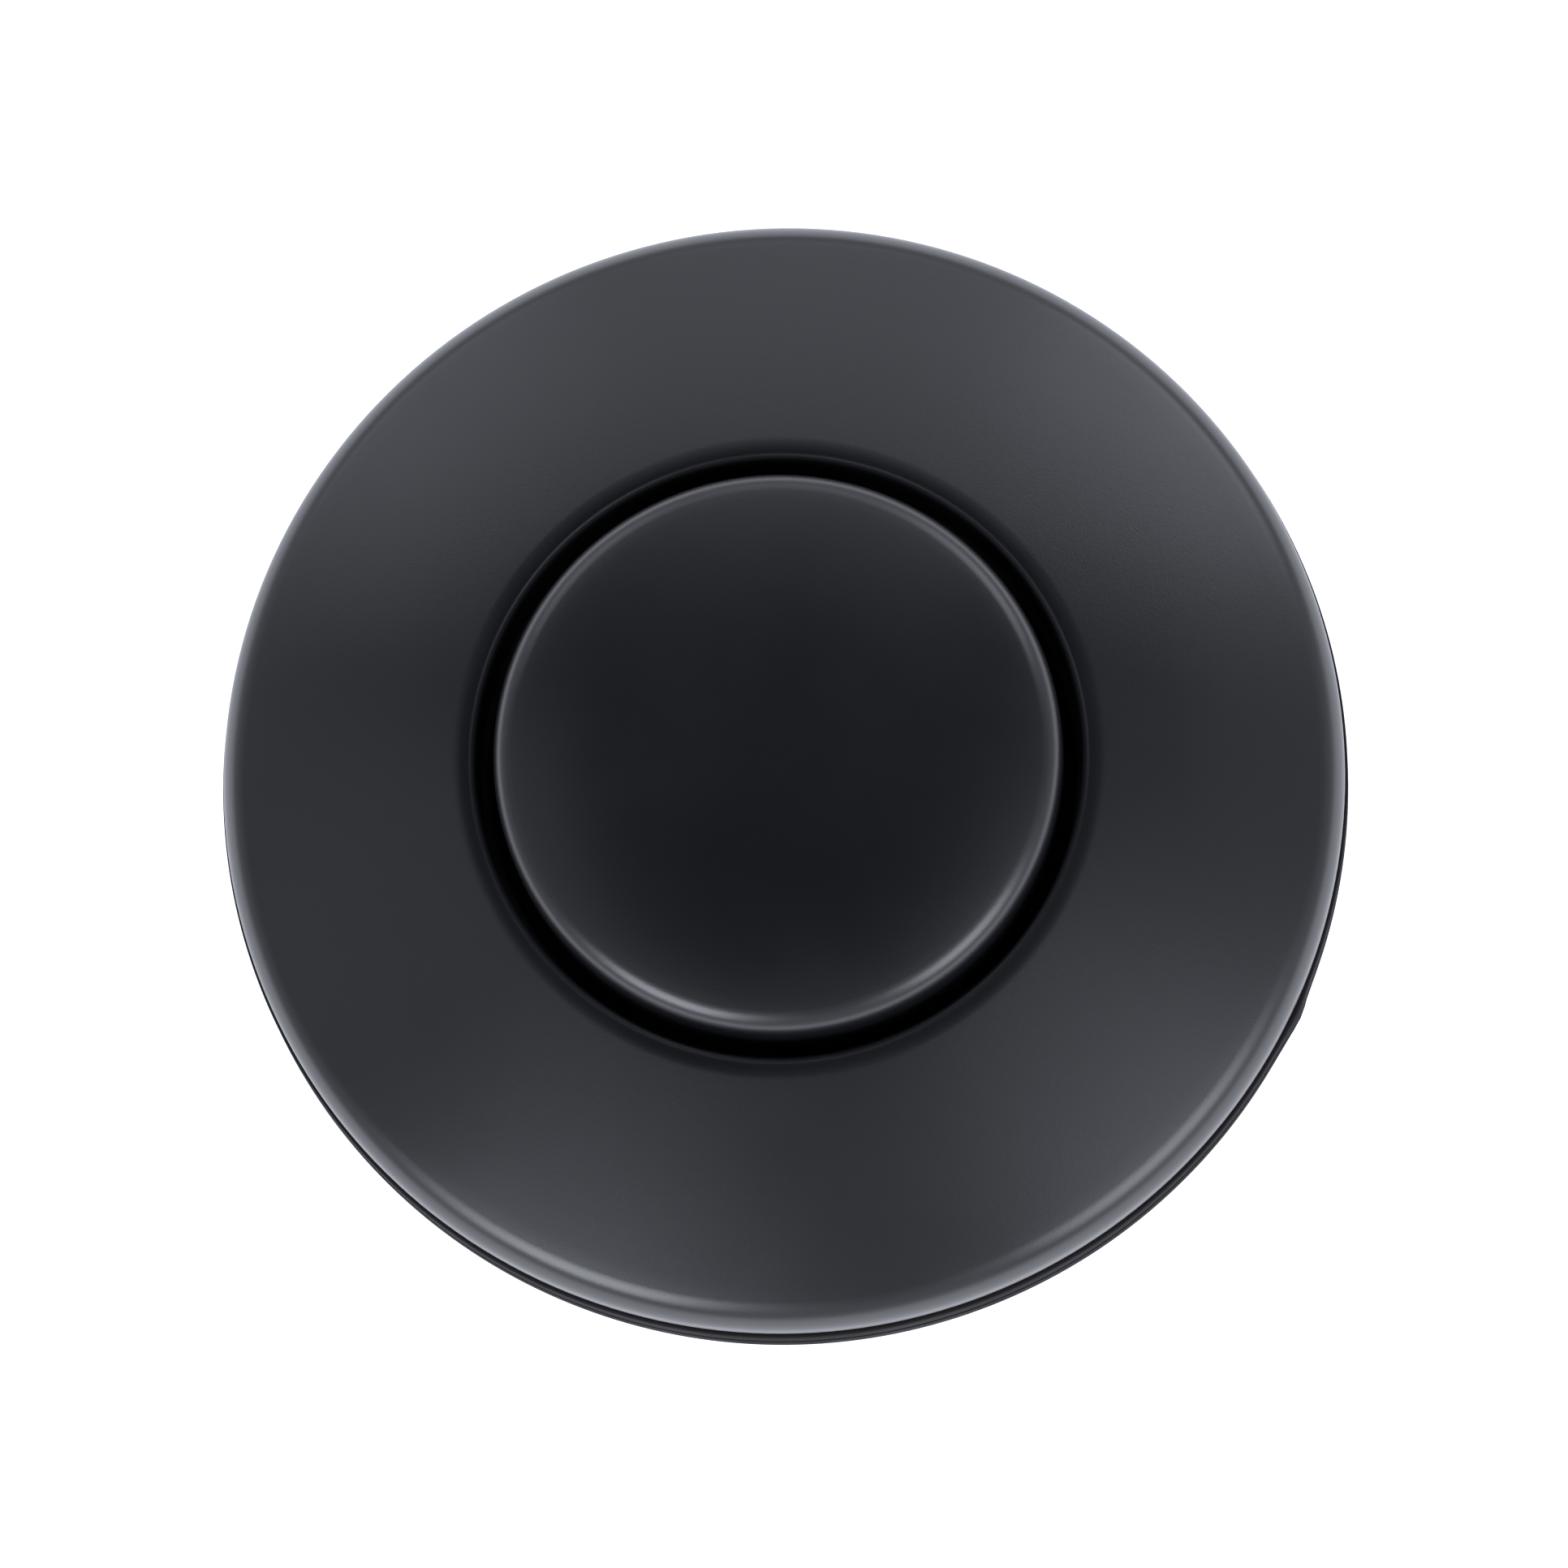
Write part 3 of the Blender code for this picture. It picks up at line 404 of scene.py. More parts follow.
def turning_marks(tree, given):
    """Height and tone of the rings that a lathe leaves round Z, broken up along their length."""
    place = tree.out("ShaderNodeTexCoord", "Object")
    parts = tree.node("ShaderNodeSeparateXYZ", in_0=place).outputs
    flat = tree.out("ShaderNodeCombineXYZ", in_0=parts[0], in_1=parts[1])
    radius = tree.out("ShaderNodeVectorMath", "Value", operation="LENGTH", in_0=flat)
    across = tree.out("ShaderNodeCombineXYZ", in_0=radius, in_1=parts[2])
    fine, broad = tree.noise(across, given["Scale"], 4.0), tree.noise(place, given["Break scale"], 2.0)
    return fine * tree.remap(broad, 0.35, 0.65, 0.6, 1.0), tree.remap(fine, 0.35, 0.65)


def dust_specks(tree, given):
    """Sparse round specks that settled on the piece."""
    place = tree.out("ShaderNodeTexCoord", "Object")
    cells = tree.node("ShaderNodeTexVoronoi", Vector=place, Scale=given["Scale"]).outputs
    tone = tree.out("ShaderNodeSeparateColor", in_0=cells["Color"])
    return (tree.math("LESS_THAN", tone, given["Amount"]) * tree.remap(cells["Distance"], 0.10, 0.05),)


def worn_edges(tree, given):
    """How sharply the surface turns, broken up by noise: 1 on the bare edges."""
    rough = tree.noise(tree.out("ShaderNodeTexCoord", "Object"), given["Scale"], 4.0)
    lifted = tree.out("ShaderNodeNewGeometry", "Pointiness") + (rough - 0.5) * 0.04
    low = 0.56 - given["Amount"] * 0.05
    return (tree.remap(lifted, low, low + 0.05),)


GRAIN = ("Fine grain", [("Scale", 6000.0), ("Mottle scale", 60.0)], ["Height", "Mottle"], fine_grain)
MARKS = ("Turning marks", [("Scale", 4000.0), ("Break scale", 300.0)], ["Height", "Tone"], turning_marks)
DUST = ("Dust specks", [("Scale", 260.0), ("Amount", 0.03)], ["Speck"], dust_specks)
EDGES = ("Worn edges", [("Scale", 900.0), ("Amount", 0.5)], ["Edge"], worn_edges)


def scaled(value, factor):
    """A lighter or darker copy of a colour."""
    return tuple(min(1.0, channel * factor) for channel in value)


class Finish(Tree):
    """A material's tree with its Principled shader, whose sockets take the constants."""

    def __init__(self, name, **constants):
        self.material = bpy.data.materials.new(name)
        self.material.use_nodes = True
        super().__init__(self.material.node_tree)
        self.shader = self.tree.nodes["Principled BSDF"]
        for key, value in constants.items():
            self.shader.inputs[key.replace("_", " ")].default_value = value

    def effect(self, group, **values):
        """Places a shared group with its own values, and returns its outputs."""
        made = self.node("ShaderNodeGroup", node_tree=shader_group(*group))
        for key, value in values.items():
            made.inputs[key.replace("_", " ")].default_value = value
        return named(self, made.outputs)

    def blended(self, amount, first, second):
        """Colour between two, by a mask."""
        made = self.node("ShaderNodeMix", data_type="RGBA")
        for key, value in (("Factor", amount), ("A", first), ("B", second)):
            self.feed(made.inputs[key], (*value, 1.0) if isinstance(value, tuple) else value)
        return made.outputs["Result"]

    def dress(self, colour, roughness, height, strength, depth):
        """Sets what varies over the surface: colour, roughness, and a bump from a height."""
        bump = self.node("ShaderNodeBump", Strength=strength, Distance=depth, Height=height)
        for key, value in (("Base Color", colour), ("Roughness", roughness), ("Normal", bump)):
            self.feed(self.shader.inputs[key], value)


def finish_in(slot, colour, **constants):
    """Makes a finish when it is first asked for, and hands the same one out after that. The slot that it is
    given is not used.
    """
    def wrap(make):
        def get():
            if make.__name__ not in bpy.data.materials:
                make(Finish(make.__name__, **constants), tuple(getattr(settings().finish, colour)))
            return bpy.data.materials[make.__name__]
        return get
    return wrap


@finish_in("matte_black_metal", "coat", IOR=1.9)
def black_coat(tree, base):
    """Matte black powder coat: a fine satin skin with a slow drift in tone and a few specks of dust."""
    grain = tree.effect(GRAIN, Scale=9000.0, Mottle_scale=70.0)
    dust = tree.effect(DUST, Scale=330.0, Amount=0.02)
    tone = tree.blended(grain["Mottle"], base, scaled(base, 1.18))
    colour = tree.blended(dust["Speck"], tone, (0.10, 0.10, 0.105))
    rough = settings().finish.coat_roughness
    drift = tree.remap(grain["Mottle"], 0.0, 1.0, rough - 0.015, rough + 0.02)
    tree.dress(colour, drift, grain["Height"], 0.10, 0.00003)


@finish_in("black_rubber", "rubber", IOR=1.3)
def moulded_rubber(tree, base):
    """Dull black rubber with a bloom in its pores."""
    grain = tree.effect(GRAIN, Scale=5200.0, Mottle_scale=120.0)
    dust = tree.effect(DUST, Scale=420.0, Amount=0.05)
    tone = tree.blended(grain["Mottle"], base, scaled(base, 1.6))
    colour = tree.blended(dust["Speck"], tone, (0.09, 0.085, 0.08))
    tree.dress(colour, tree.remap(grain["Mottle"], 0.0, 1.0, 0.72, 0.86), grain["Height"], 0.35, 0.00005)


@finish_in("bellows_rubber", "bellows")
def bellows_rubber(tree, base):
    """Soft grey rubber, silky, paler where the folds turn."""
    grain = tree.effect(GRAIN, Scale=4200.0, Mottle_scale=150.0)
    edge = tree.effect(EDGES, Scale=700.0, Amount=0.6)
    tone = tree.blended(grain["Mottle"], base, scaled(base, 1.25))
    colour = tree.blended(edge["Edge"], tone, scaled(base, 1.9))
    tree.dress(colour, tree.remap(grain["Mottle"], 0.0, 1.0, 0.52, 0.64), grain["Height"], 0.2, 0.00004)


@finish_in("black_plastic", "plastic")
def black_plastic(tree, base):
    """Spark-eroded black ABS: an even grain, rubbed shiny and paler along its edges."""
    grain = tree.effect(GRAIN, Scale=3600.0, Mottle_scale=90.0)
    edge = tree.effect(EDGES, Scale=800.0, Amount=0.4)
    dust = tree.effect(DUST, Scale=300.0, Amount=0.03)
    tone = tree.blended(grain["Mottle"], base, scaled(base, 1.3))
    worn = tree.blended(edge["Edge"], tone, scaled(base, 2.6))
    colour = tree.blended(dust["Speck"], worn, (0.12, 0.12, 0.12))
    smooth = tree.remap(edge["Edge"], 0.0, 1.0, 0.46, 0.32)
    tree.dress(colour, smooth + grain["Mottle"] * 0.06, grain["Height"], 0.4, 0.00005)


@finish_in("white_acetal", "acetal", Subsurface_Weight=0.15, Subsurface_Scale=0.0012)
def natural_acetal(tree, base):
    """Waxy white acetal with faint turning rings."""
    marks = tree.effect(MARKS, Scale=2600.0, Break_scale=200.0)
    grain = tree.effect(GRAIN, Scale=2500.0, Mottle_scale=80.0)
    colour = tree.blended(grain["Mottle"], base, scaled(base, 0.9))
    tree.dress(colour, tree.remap(marks["Tone"], 0.0, 1.0, 0.33, 0.42), marks["Height"], 0.12, 0.00003)


@finish_in("steel", "steel", Metallic=1.0)
def bright_steel(tree, base):
    """Stainless steel with the marks of its turning or drawing, dulled in patches."""
    marks = tree.effect(MARKS, Scale=5200.0, Break_scale=350.0)
    grain = tree.effect(GRAIN, Scale=3000.0, Mottle_scale=140.0)
    colour = tree.blended(grain["Mottle"], base, scaled(base, 0.82))
    tree.dress(colour, tree.remap(marks["Tone"], 0.0, 1.0, 0.22, 0.36), marks["Height"], 0.15, 0.00003)


@finish_in("brass", "brass", Metallic=1.0)
def turned_brass(tree, base):
    """Bar-turned brass, darker where it has begun to tarnish and bright on its edges."""
    marks = tree.effect(MARKS, Scale=6500.0, Break_scale=500.0)
    grain = tree.effect(GRAIN, Scale=3000.0, Mottle_scale=260.0)
    edge = tree.effect(EDGES, Scale=900.0, Amount=0.5)
    tarnish = tree.blended(grain["Mottle"], base, (base[0] * 0.72, base[1] * 0.62, base[2] * 0.5))
    colour = tree.blended(edge["Edge"], tarnish, scaled(base, 1.15))
    tree.dress(colour, tree.remap(marks["Tone"], 0.0, 1.0, 0.2, 0.38), marks["Height"], 0.25, 0.00004)


# Mesh helpers --------------------------------------------------------------------------------------------
def arc(centre, radius, start, end, steps):
    """Points (r, z) on an arc. An angle is that of the surface's normal, from +Z towards +r."""
    angles = [start + (end - start) * i / steps for i in range(steps + 1)]
    return [(centre[0] + radius * math.sin(a), centre[1] + radius * math.cos(a)) for a in angles]


def rounded(steps, *corners):
    """Closed outline through corners (r, z, rounding in mm), each rounded as far as its sides allow."""
    points = []
    for i, (r, z, fillet) in enumerate(corners):
        fillet *= MM
        here = Vector((r, z))
        before, after = Vector(corners[i - 1][:2]) - here, Vector(corners[(i + 1) % len(corners)][:2]) - here
        reach = 0.45 * min(before.length, after.length)
        if fillet <= 0 or reach < 1e-7:
            points.append((r, z))
            continue
        half = before.angle(after) / 2
        if half > QUARTER - 0.01:
            points.append((r, z))
            continue
        size = min(fillet / math.tan(half), reach)
        start, end = here + before.normalized() * size, here + after.normalized() * size
        for k in range(steps + 1):
            t = k / steps
            blend = start.lerp(here, t).lerp(here.lerp(end, t), t)
            points.append((blend.x, blend.y))
    return points


def finished(name, mesh, body, finish, nodes):
    """Turns a bmesh into a piece that rides on a body, in a finish, and stands for CAD nodes."""
    bmesh.ops.remove_doubles(mesh, verts=mesh.verts, dist=1e-7)
    bmesh.ops.dissolve_degenerate(mesh, dist=1e-8, edges=mesh.edges)
    bmesh.ops.recalc_face_normals(mesh, faces=mesh.faces)
    data = bpy.data.meshes.new(name)
    mesh.to_mesh(data)
    mesh.free()
    data.shade_smooth()
    data.set_sharp_from_angle(angle=math.radians(32))
    data.materials.clear()
    data.materials.append(finish)
    made = bpy.data.objects.new(name, data)
    bpy.context.scene.collection.objects.link(made)
    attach(made, body)
    if nodes:
        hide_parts(*nodes)
    return made


def spun(outline, segments=144, shape=None):
    """A bmesh turned once round Z from a closed outline of (r, z). shape gives r anew from r, z and angle."""
    mesh = bmesh.new()
    rings = []
    for i in range(segments):
        a = TURN * i / segments
        across, along = math.cos(a), math.sin(a)
        ring = []
        for r, z in outline:
            reach = shape(r, z, a) if shape else r
            ring.append(mesh.verts.new((reach * across, reach * along, z)))
        rings.append(ring)
    total = len(outline)
    for i in range(segments):
        here, there = rings[i], rings[(i + 1) % segments]
        for k in range(total):
            n = (k + 1) % total
            if outline[k][0] < 1e-9 and outline[n][0] < 1e-9:
                continue
            mesh.faces.new((here[k], there[k], there[n], here[n]))
    return mesh


def turned(name, outline, body, finish, nodes, segments=144):
    return finished(name, spun(outline, segments), body, finish, nodes)


def round_ring(name, node, steps):
    """A rubber ring of round section."""
    low, high, outer = span_of(node)
    wire = (high - low) / 2
    section = arc((outer - wire, low + wire), wire, 0, TURN, steps)[:-1]
    return turned(name, section, "housing", moulded_rubber(), [node])


def press_flat(mesh, limit, reach):
    """Presses the points beyond the plane x = limit back to it, out to reach, as a flat on a shaft."""
    for vertex in mesh.verts:
        if vertex.co.x > limit and math.hypot(vertex.co.x, vertex.co.y) < reach:
            vertex.co.x = limit


# Geometry node trees -------------------------------------------------------------------------------------
def geometry_tree(name, objects=(), **sizes):
    """An empty geometry tree with named inputs for objects, sizes, counts and the finish."""
    tree = bpy.data.node_groups.new(name, "GeometryNodeTree")
    kinds = {float: "Float", int: "Int"}
    inputs = [(n, "Object", None) for n in objects]
    inputs += [(n.replace("_", " "), kinds[type(v)], v) for n, v in sizes.items()]
    add_sockets(tree, "INPUT", [*inputs, ("Finish", "Material", None)])
    add_sockets(tree, "OUTPUT", [("Geometry", "Geometry", None)])
    start, made = tree.nodes.new("NodeGroupInput"), Tree(tree)
    return made, named(made, start.outputs)


def grown_mesh(name, make_tree, values):
    """Runs a geometry tree with the given inputs and returns the result as a plain mesh."""
    tree = bpy.data.node_groups.get(make_tree.__name__) or make_tree()
    tree.name = make_tree.__name__
    carrier = bpy.data.objects.new(name + "_maker", bpy.data.meshes.new(name + "_maker"))
    bpy.context.scene.collection.objects.link(carrier)
    step = carrier.modifiers.new(name, "NODES")
    step.node_group = tree
    for item in tree.interface.items_tree:
        if item.in_out == "INPUT" and item.name in values:
            step[item.identifier] = values[item.name]
    bpy.context.view_layer.update()
    data = bpy.data.meshes.new_from_object(carrier.evaluated_get(bpy.context.evaluated_depsgraph_get()))
    carrier.modifiers.remove(step)
    bpy.data.objects.remove(carrier)
    return data


def grown(name, make_tree, values, body, finish, nodes):
    """A piece made by a geometry tree."""
    data = grown_mesh(name, make_tree, {**values, "Finish": finish})
    mesh = bmesh.new()
    mesh.from_mesh(data)
    bpy.data.meshes.remove(data)
    return finished(name, mesh, body, finish, nodes)


def ended(tree, geometry, finish):
    """Realizes the instances, sets the finish and ends the tree."""
    real = tree.node("GeometryNodeRealizeInstances", in_0=geometry)
    tree.node("NodeGroupOutput", in_0=tree.node("GeometryNodeSetMaterial", in_0=real, Material=finish))
    return tree.tree


def helical_ridge():
    """A helical ridge of four-cornered section that dies out at both ends, for a thread inside or outside."""
    tree, given = geometry_tree(
        "Helical ridge", Root_radius=0.014, Crest_radius=0.015, Root_half_width=0.001,
        Crest_half_width=0.0005, Pitch=0.0025, Turns=10.0, Start_height=0.0, Start_angle=0.0, Points=960,
    )
    grid = tree.node("GeometryNodeMeshGrid", Size_X=1.0, Size_Y=1.0, Vertices_X=given["Points"], Vertices_Y=7)
    place = tree.node("ShaderNodeSeparateXYZ", in_0=tree.node("GeometryNodeInputPosition")).outputs
    along, across = (Value(tree, place[axis]) + 0.5 for axis in (0, 1))
    # Rows -3 and 3 are one line inside the root, -2 and 2 the root's corners, -1 to 1 the crest.
    row = tree.math("ROUND", across * 6.0) - 3.0
    away = tree.math("ABSOLUTE", row)
    level = tree.remap(away, 2.0, 1.0, 0.0, 1.0, smooth=False)
    last = tree.math("GREATER_THAN", away, 2.5)
    turn = along * given["Turns"]
    fade = tree.remap(tree.math("MINIMUM", turn, given["Turns"] - turn), 0.0, 0.35)
    depth = given["Crest radius"] - given["Root radius"]
    radius = level * fade * depth + given["Root radius"] + last * (depth * -0.08)
    half = level * (given["Crest half width"] - given["Root half width"]) + given["Root half width"]
    offset = half * tree.math("SIGN", row) * fade * (1.0 - last)
    height = turn * given["Pitch"] + given["Start height"] + offset
    point = tree.polar(radius, turn * TURN + given["Start angle"], height)
    moved = tree.node("GeometryNodeSetPosition", in_0=grid, Position=point)
    merged = tree.node("GeometryNodeMergeByDistance", in_0=moved, Distance=1e-6)
    return ended(tree, merged, given["Finish"])


def coil_spring():
    """A compression spring: a wire along a helix whose first and last turns lie flat."""
    tree, given = geometry_tree(
        "Coil spring", Radius=0.009, Wire_radius=0.0004, Bottom=0.0, Top=0.01, Coils=5.0, Closed_rise=0.0009,
        Points=400, Wire_points=16,
    )
    line = tree.node("GeometryNodeCurvePrimitiveLine", End=(0.0, 0.0, 1.0))
    dense = tree.node("GeometryNodeResampleCurve", in_0=line, Count=given["Points"])
    turn = tree.out("GeometryNodeSplineParameter", "Factor") * given["Coils"]
    closed, last = given["Closed rise"], given["Coils"] - 1.0
    ends = tree.math("MINIMUM", turn, 1.0) + tree.math("MAXIMUM", turn - last, 0.0)
    rise = given["Top"] - given["Bottom"] - closed * 2.0
    middle = tree.remap(turn, 1.0, last, 0.0, 1.0, smooth=False)
    point = tree.polar(given["Radius"], turn * TURN, given["Bottom"] + ends * closed + middle * rise)
    moved = tree.node("GeometryNodeSetPosition", in_0=dense, Position=point)
    circle = tree.node(
        "GeometryNodeCurvePrimitiveCircle", Resolution=given["Wire points"], Radius=given["Wire radius"]
    )
    wire = tree.node("GeometryNodeCurveToMesh", in_0=moved, Profile_Curve=circle, Fill_Caps=True)
    return ended(tree, wire, given["Finish"])


def ring_of_copies():
    """Copies of an object at equal angles on a circle, each turned to face outwards."""
    tree, given = geometry_tree(
        "Copies on a circle", ["Copied"], Count=3, Radius=0.01, Height=0.0, First_angle=0.0, Turn_of_each=0.0
    )
    index = tree.out("GeometryNodeInputIndex")
    bearing = index * tree.math("DIVIDE", TURN, given["Count"]) + given["First angle"]
    place = tree.polar(given["Radius"], bearing, given["Height"])
    points = tree.node("GeometryNodePoints", Count=given["Count"], Position=place)
    copied = tree.out("GeometryNodeObjectInfo", "Geometry", Object=given["Copied"])
    facing = tree.node("ShaderNodeCombineXYZ", in_2=index * given["Turn of each"] + bearing)
    copies = tree.node("GeometryNodeInstanceOnPoints", in_0=points, Instance=copied, Rotation=facing)
    return ended(tree, copies, given["Finish"])


# The flange and its gasket -------------------------------------------------------------------------------
def dome_arcs():
    """Centre and radius of the dome's arc and of its crest's, from the slopes at their ends."""
    size = settings().flange
    outer = radius_of("escutcheon")
    rim_top = bottom_of("escutcheon") + size.rim_wall
    start_r = outer - size.rim_fillet * (1 - math.sin(size.outer_slope))
    start_z = rim_top + size.rim_fillet * math.cos(size.outer_slope)
    end_r = size.bore + size.crest_width
    radius = (start_r - end_r) / (math.sin(size.outer_slope) - math.sin(size.inner_slope))
    centre = (start_r - radius * math.sin(size.outer_slope), start_z - radius * math.cos(size.outer_slope))
    end_z = centre[1] + radius * math.cos(size.inner_slope)
    crest_end = size.bore + size.lip_fillet * (1 - math.sin(size.crest_slope))
    crest_radius = (end_r - crest_end) / (math.sin(size.inner_slope) + math.sin(size.crest_slope))
    crest = (
        end_r - crest_radius * math.sin(size.inner_slope),
        end_z - crest_radius * math.cos(size.inner_slope),
    )
    return centre, radius, crest, crest_radius


def flange_outline():
    size = settings().flange
    outer, bottom = radius_of("escutcheon"), bottom_of("escutcheon")
    centre, radius, crest, crest_radius = dome_arcs()
    crest_end = arc(crest, crest_radius, size.inner_slope, -size.crest_slope, 10)
    lip = (
        crest_end[-1][0] + size.lip_fillet * math.sin(size.crest_slope),
        crest_end[-1][1] - size.lip_fillet * math.cos(size.crest_slope),
    )
    tube = size.bore + size.tube_wall
    tube_bottom = bottom + 1.4 * MM
    under = radius - size.wall
    tube_slope = math.asin((tube - centre[0]) / under)
    inside = outer - size.wall
    soft = 0.15 * MM
    return (
        arc((outer - size.rim_fillet, bottom + size.rim_wall), size.rim_fillet, QUARTER, size.outer_slope, 14)
        + arc(centre, radius, size.outer_slope, size.inner_slope, 14)[1:]
        + crest_end[1:]
        + arc(lip, size.lip_fillet, -size.crest_slope, -QUARTER, 8)[1:]
        + [(size.bore, tube_bottom + soft), (size.bore + soft, tube_bottom)]
        + [(tube - soft, tube_bottom), (tube, tube_bottom + soft)]
        + arc(centre, under, tube_slope, size.outer_slope, 8)
        + [(inside, bottom + soft), (inside + soft, bottom), (outer - soft, bottom), (outer, bottom + soft)]
    )


def bulge(a):
    """Share of the gasket's tab at an angle: steeper on the side nearer +X."""
    size = settings().flange
    away = (a - size.tab_angle + math.pi) % TURN - math.pi
    reach = away * radius_of("escutcheon") / size.tab_width
    return math.exp(-(reach**2) * (1.3 if reach > 0 else 0.9))


def gasket_mesh():
    """Flat ring with one shallow groove round its edge, and a tab."""
    size = settings().flange
    lo, hi = box("counter_gasket")
    outer = radius_of("escutcheon") + size.gasket_lap
    inner = shank_radius() + CLAMP_GAP
    reach = size.tab_reach
    middle, groove = (lo.z + hi.z) / 2, 0.22 * MM
    outline = rounded(
        5, (inner, lo.z, 0.25), (outer, lo.z, 0.25), (outer, middle - groove, 0.05),
        (outer - 0.14 * MM, middle, 0.1), (outer, middle + groove, 0.05), (outer, hi.z, 0.25),
        (inner, hi.z, 0.25),
    )

    def shape(r, z, a):
        """Pushes the edge out at the tab, less towards its top and bottom."""
        if r < outer - 2 * MM:
            return r
        low = min(1.0, (z - lo.z) / (0.35 * (hi.z - lo.z)))
        high = min(1.0, (hi.z - z) / (0.35 * (hi.z - lo.z)))
        return r + reach * bulge(a) * (0.25 + 0.75 * low) * (0.25 + 0.75 * high)

    return spun(outline, 288, shape)


def shank_radius():
    return radius_of("button_cap") + settings().shank.recess_gap + settings().shank.neck_wall


class AIRSWITCH_OT_flange(Operator):
    """Builds the domed metal ring and the rubber gasket under it"""

    bl_idname = "air_switch.flange"
    bl_label = "Flange and gasket"

    def execute(self, context):
        turned("flange", flange_outline(), "housing", black_coat(), ["escutcheon"], 224)
        finished("gasket", gasket_mesh(), "housing", moulded_rubber(), ["counter_gasket"])
        return {"FINISHED"}


# The button ----------------------------------------------------------------------------------------------
def cap_outline():
    size = settings().button
    radius, top = radius_of("button_cap"), top_of("button_cap")
    shoulder = top - size.crown_rise
    widest = shoulder - size.edge_fillet * math.cos(size.edge_slope)
    bottom, boss_bottom = widest - size.skirt, bottom_of("button_cap")
    reach = radius - size.edge_fillet * (1 - math.sin(size.edge_slope))
    crown = [(reach * i / 24, top - size.crown_rise * (i / 24) ** 3) for i in range(25)]
    inner = radius - size.wall
    roof = top - size.roof
    ceiling = shoulder - size.roof
    soft = 0.2 * MM
    return (
        crown
        + arc((radius - size.edge_fillet, widest), size.edge_fillet, size.edge_slope, QUARTER, 12)[1:]
        + [(radius, bottom + soft), (radius - soft, bottom), (inner + soft, bottom), (inner, bottom + soft)]
        + [(inner, ceiling - soft), (inner - soft, ceiling)]
        + [(size.boss + soft, roof), (size.boss, roof - soft), (size.boss, boss_bottom + soft)]
        + [(size.boss - soft, boss_bottom), (1.45 * MM, boss_bottom), (1.3 * MM, boss_bottom + soft)]
        + [(1.3 * MM, roof), (0.0, roof)]
    )


class AIRSWITCH_OT_button(Operator):
    """Builds the crowned metal button"""

    bl_idname = "air_switch.button"
    bl_label = "Button"

    def execute(self, context):
        turned("button", cap_outline(), "button", black_coat(), ["button_cap"], 192)
        return {"FINISHED"}


# The body and what it holds ------------------------------------------------------------------------------
def body_outline():
    """Collar, flange and hollow shank, without the thread."""
    size, thread = settings().shank, settings().thread
    foot, shelf = bottom_of("switch_body"), bottom_of("escutcheon")
    web, top, edge = shelf + size.web, top_of("switch_body"), radius_of("switch_body")
    collar = edge - size.shelf
    collar_bore, shelf_top = collar - size.collar_wall, shelf + size.shelf_thickness
    shank = shank_radius()
    root, recess, recess_floor = shank - thread.depth, shank - size.neck_wall, -size.recess_depth
    well, chamber = shank - size.well_wall, root - size.chamber_wall
    well_floor, guide = top_of("wiper_seal") + 0.1 * MM, radius_of("guide_bush") + SLIDE_GAP
    guide_floor, lip_bore = bottom_of("guide_bush") - SEAT_GAP, settings().button.stem + 0.4 * MM
    roof, seat, seat_top = guide_floor - 0.6 * MM, radius_of("bellows") + SEAT_GAP, foot + 1.7 * MM
    neck = -thread.neck - 1.5 * MM
    return rounded(
        4, (collar_bore, web, 0.25), (recess, web, 0.3), (recess, recess_floor, 0.3),
        (well, recess_floor, 0.35), (well, well_floor, 0.2), (guide, well_floor, 0.1),
        (guide, guide_floor, 0.1), (lip_bore, guide_floor, 0.1), (lip_bore, roof, 0.15), (chamber, roof, 0.5),
        (chamber, seat_top, 0.15), (seat, seat_top, 0.1), (seat, foot, 0.3),
        (root, foot, 0.5), (root, neck - 0.6 * MM, 0.3), (shank, neck, 0.3), (shank, shelf, 0.35),
        (edge, shelf, 0.3), (edge, shelf_top, 0.3), (collar, shelf_top, 0.3),
        (collar, top, 0.35), (collar_bore, top, 0.35),
    )


def thread_values(root, crest, root_half, crest_half, low, high, centre):
    """Inputs of the helical ridge between two heights. centre is its height at angle 0."""
    size = settings().thread
    turns = (high - low) / size.pitch
    return {
        "Root radius": root, "Crest radius": crest, "Root half width": root_half,
        "Crest half width": crest_half, "Pitch": size.pitch, "Turns": turns, "Start height": low,
        "Start angle": ((low - centre) / size.pitch % 1) * TURN, "Points": int(turns * size.per_turn),
    }


def groove_half(depth):
    """Half the width of the shank's groove, at a height over its root."""
    size = settings().thread
    return size.pitch * (0.1 + 0.2 * depth / size.depth)


class AIRSWITCH_OT_body(Operator):
    """Builds the plastic body with its threaded shank, and the ring round its collar"""

    bl_idname = "air_switch.body"
    bl_label = "Body and thread"

    def execute(self, context):
        size, foot, shank = settings().thread, bottom_of("switch_body"), shank_radius()
        plastic = black_plastic()
        turned("body", body_outline(), "housing", plastic, ["switch_body"])
        half = size.pitch / 2
        values = thread_values(
            shank - size.depth, shank, half - groove_half(0), half - groove_half(size.depth),
            foot + 1.15 * MM, -size.neck - 1.3 * MM, foot + half,
        )
        grown("shank_thread", helical_ridge, values, "housing", plastic, [])
        round_ring("collar_ring", "collar_o_ring", 20)
        return {"FINISHED"}


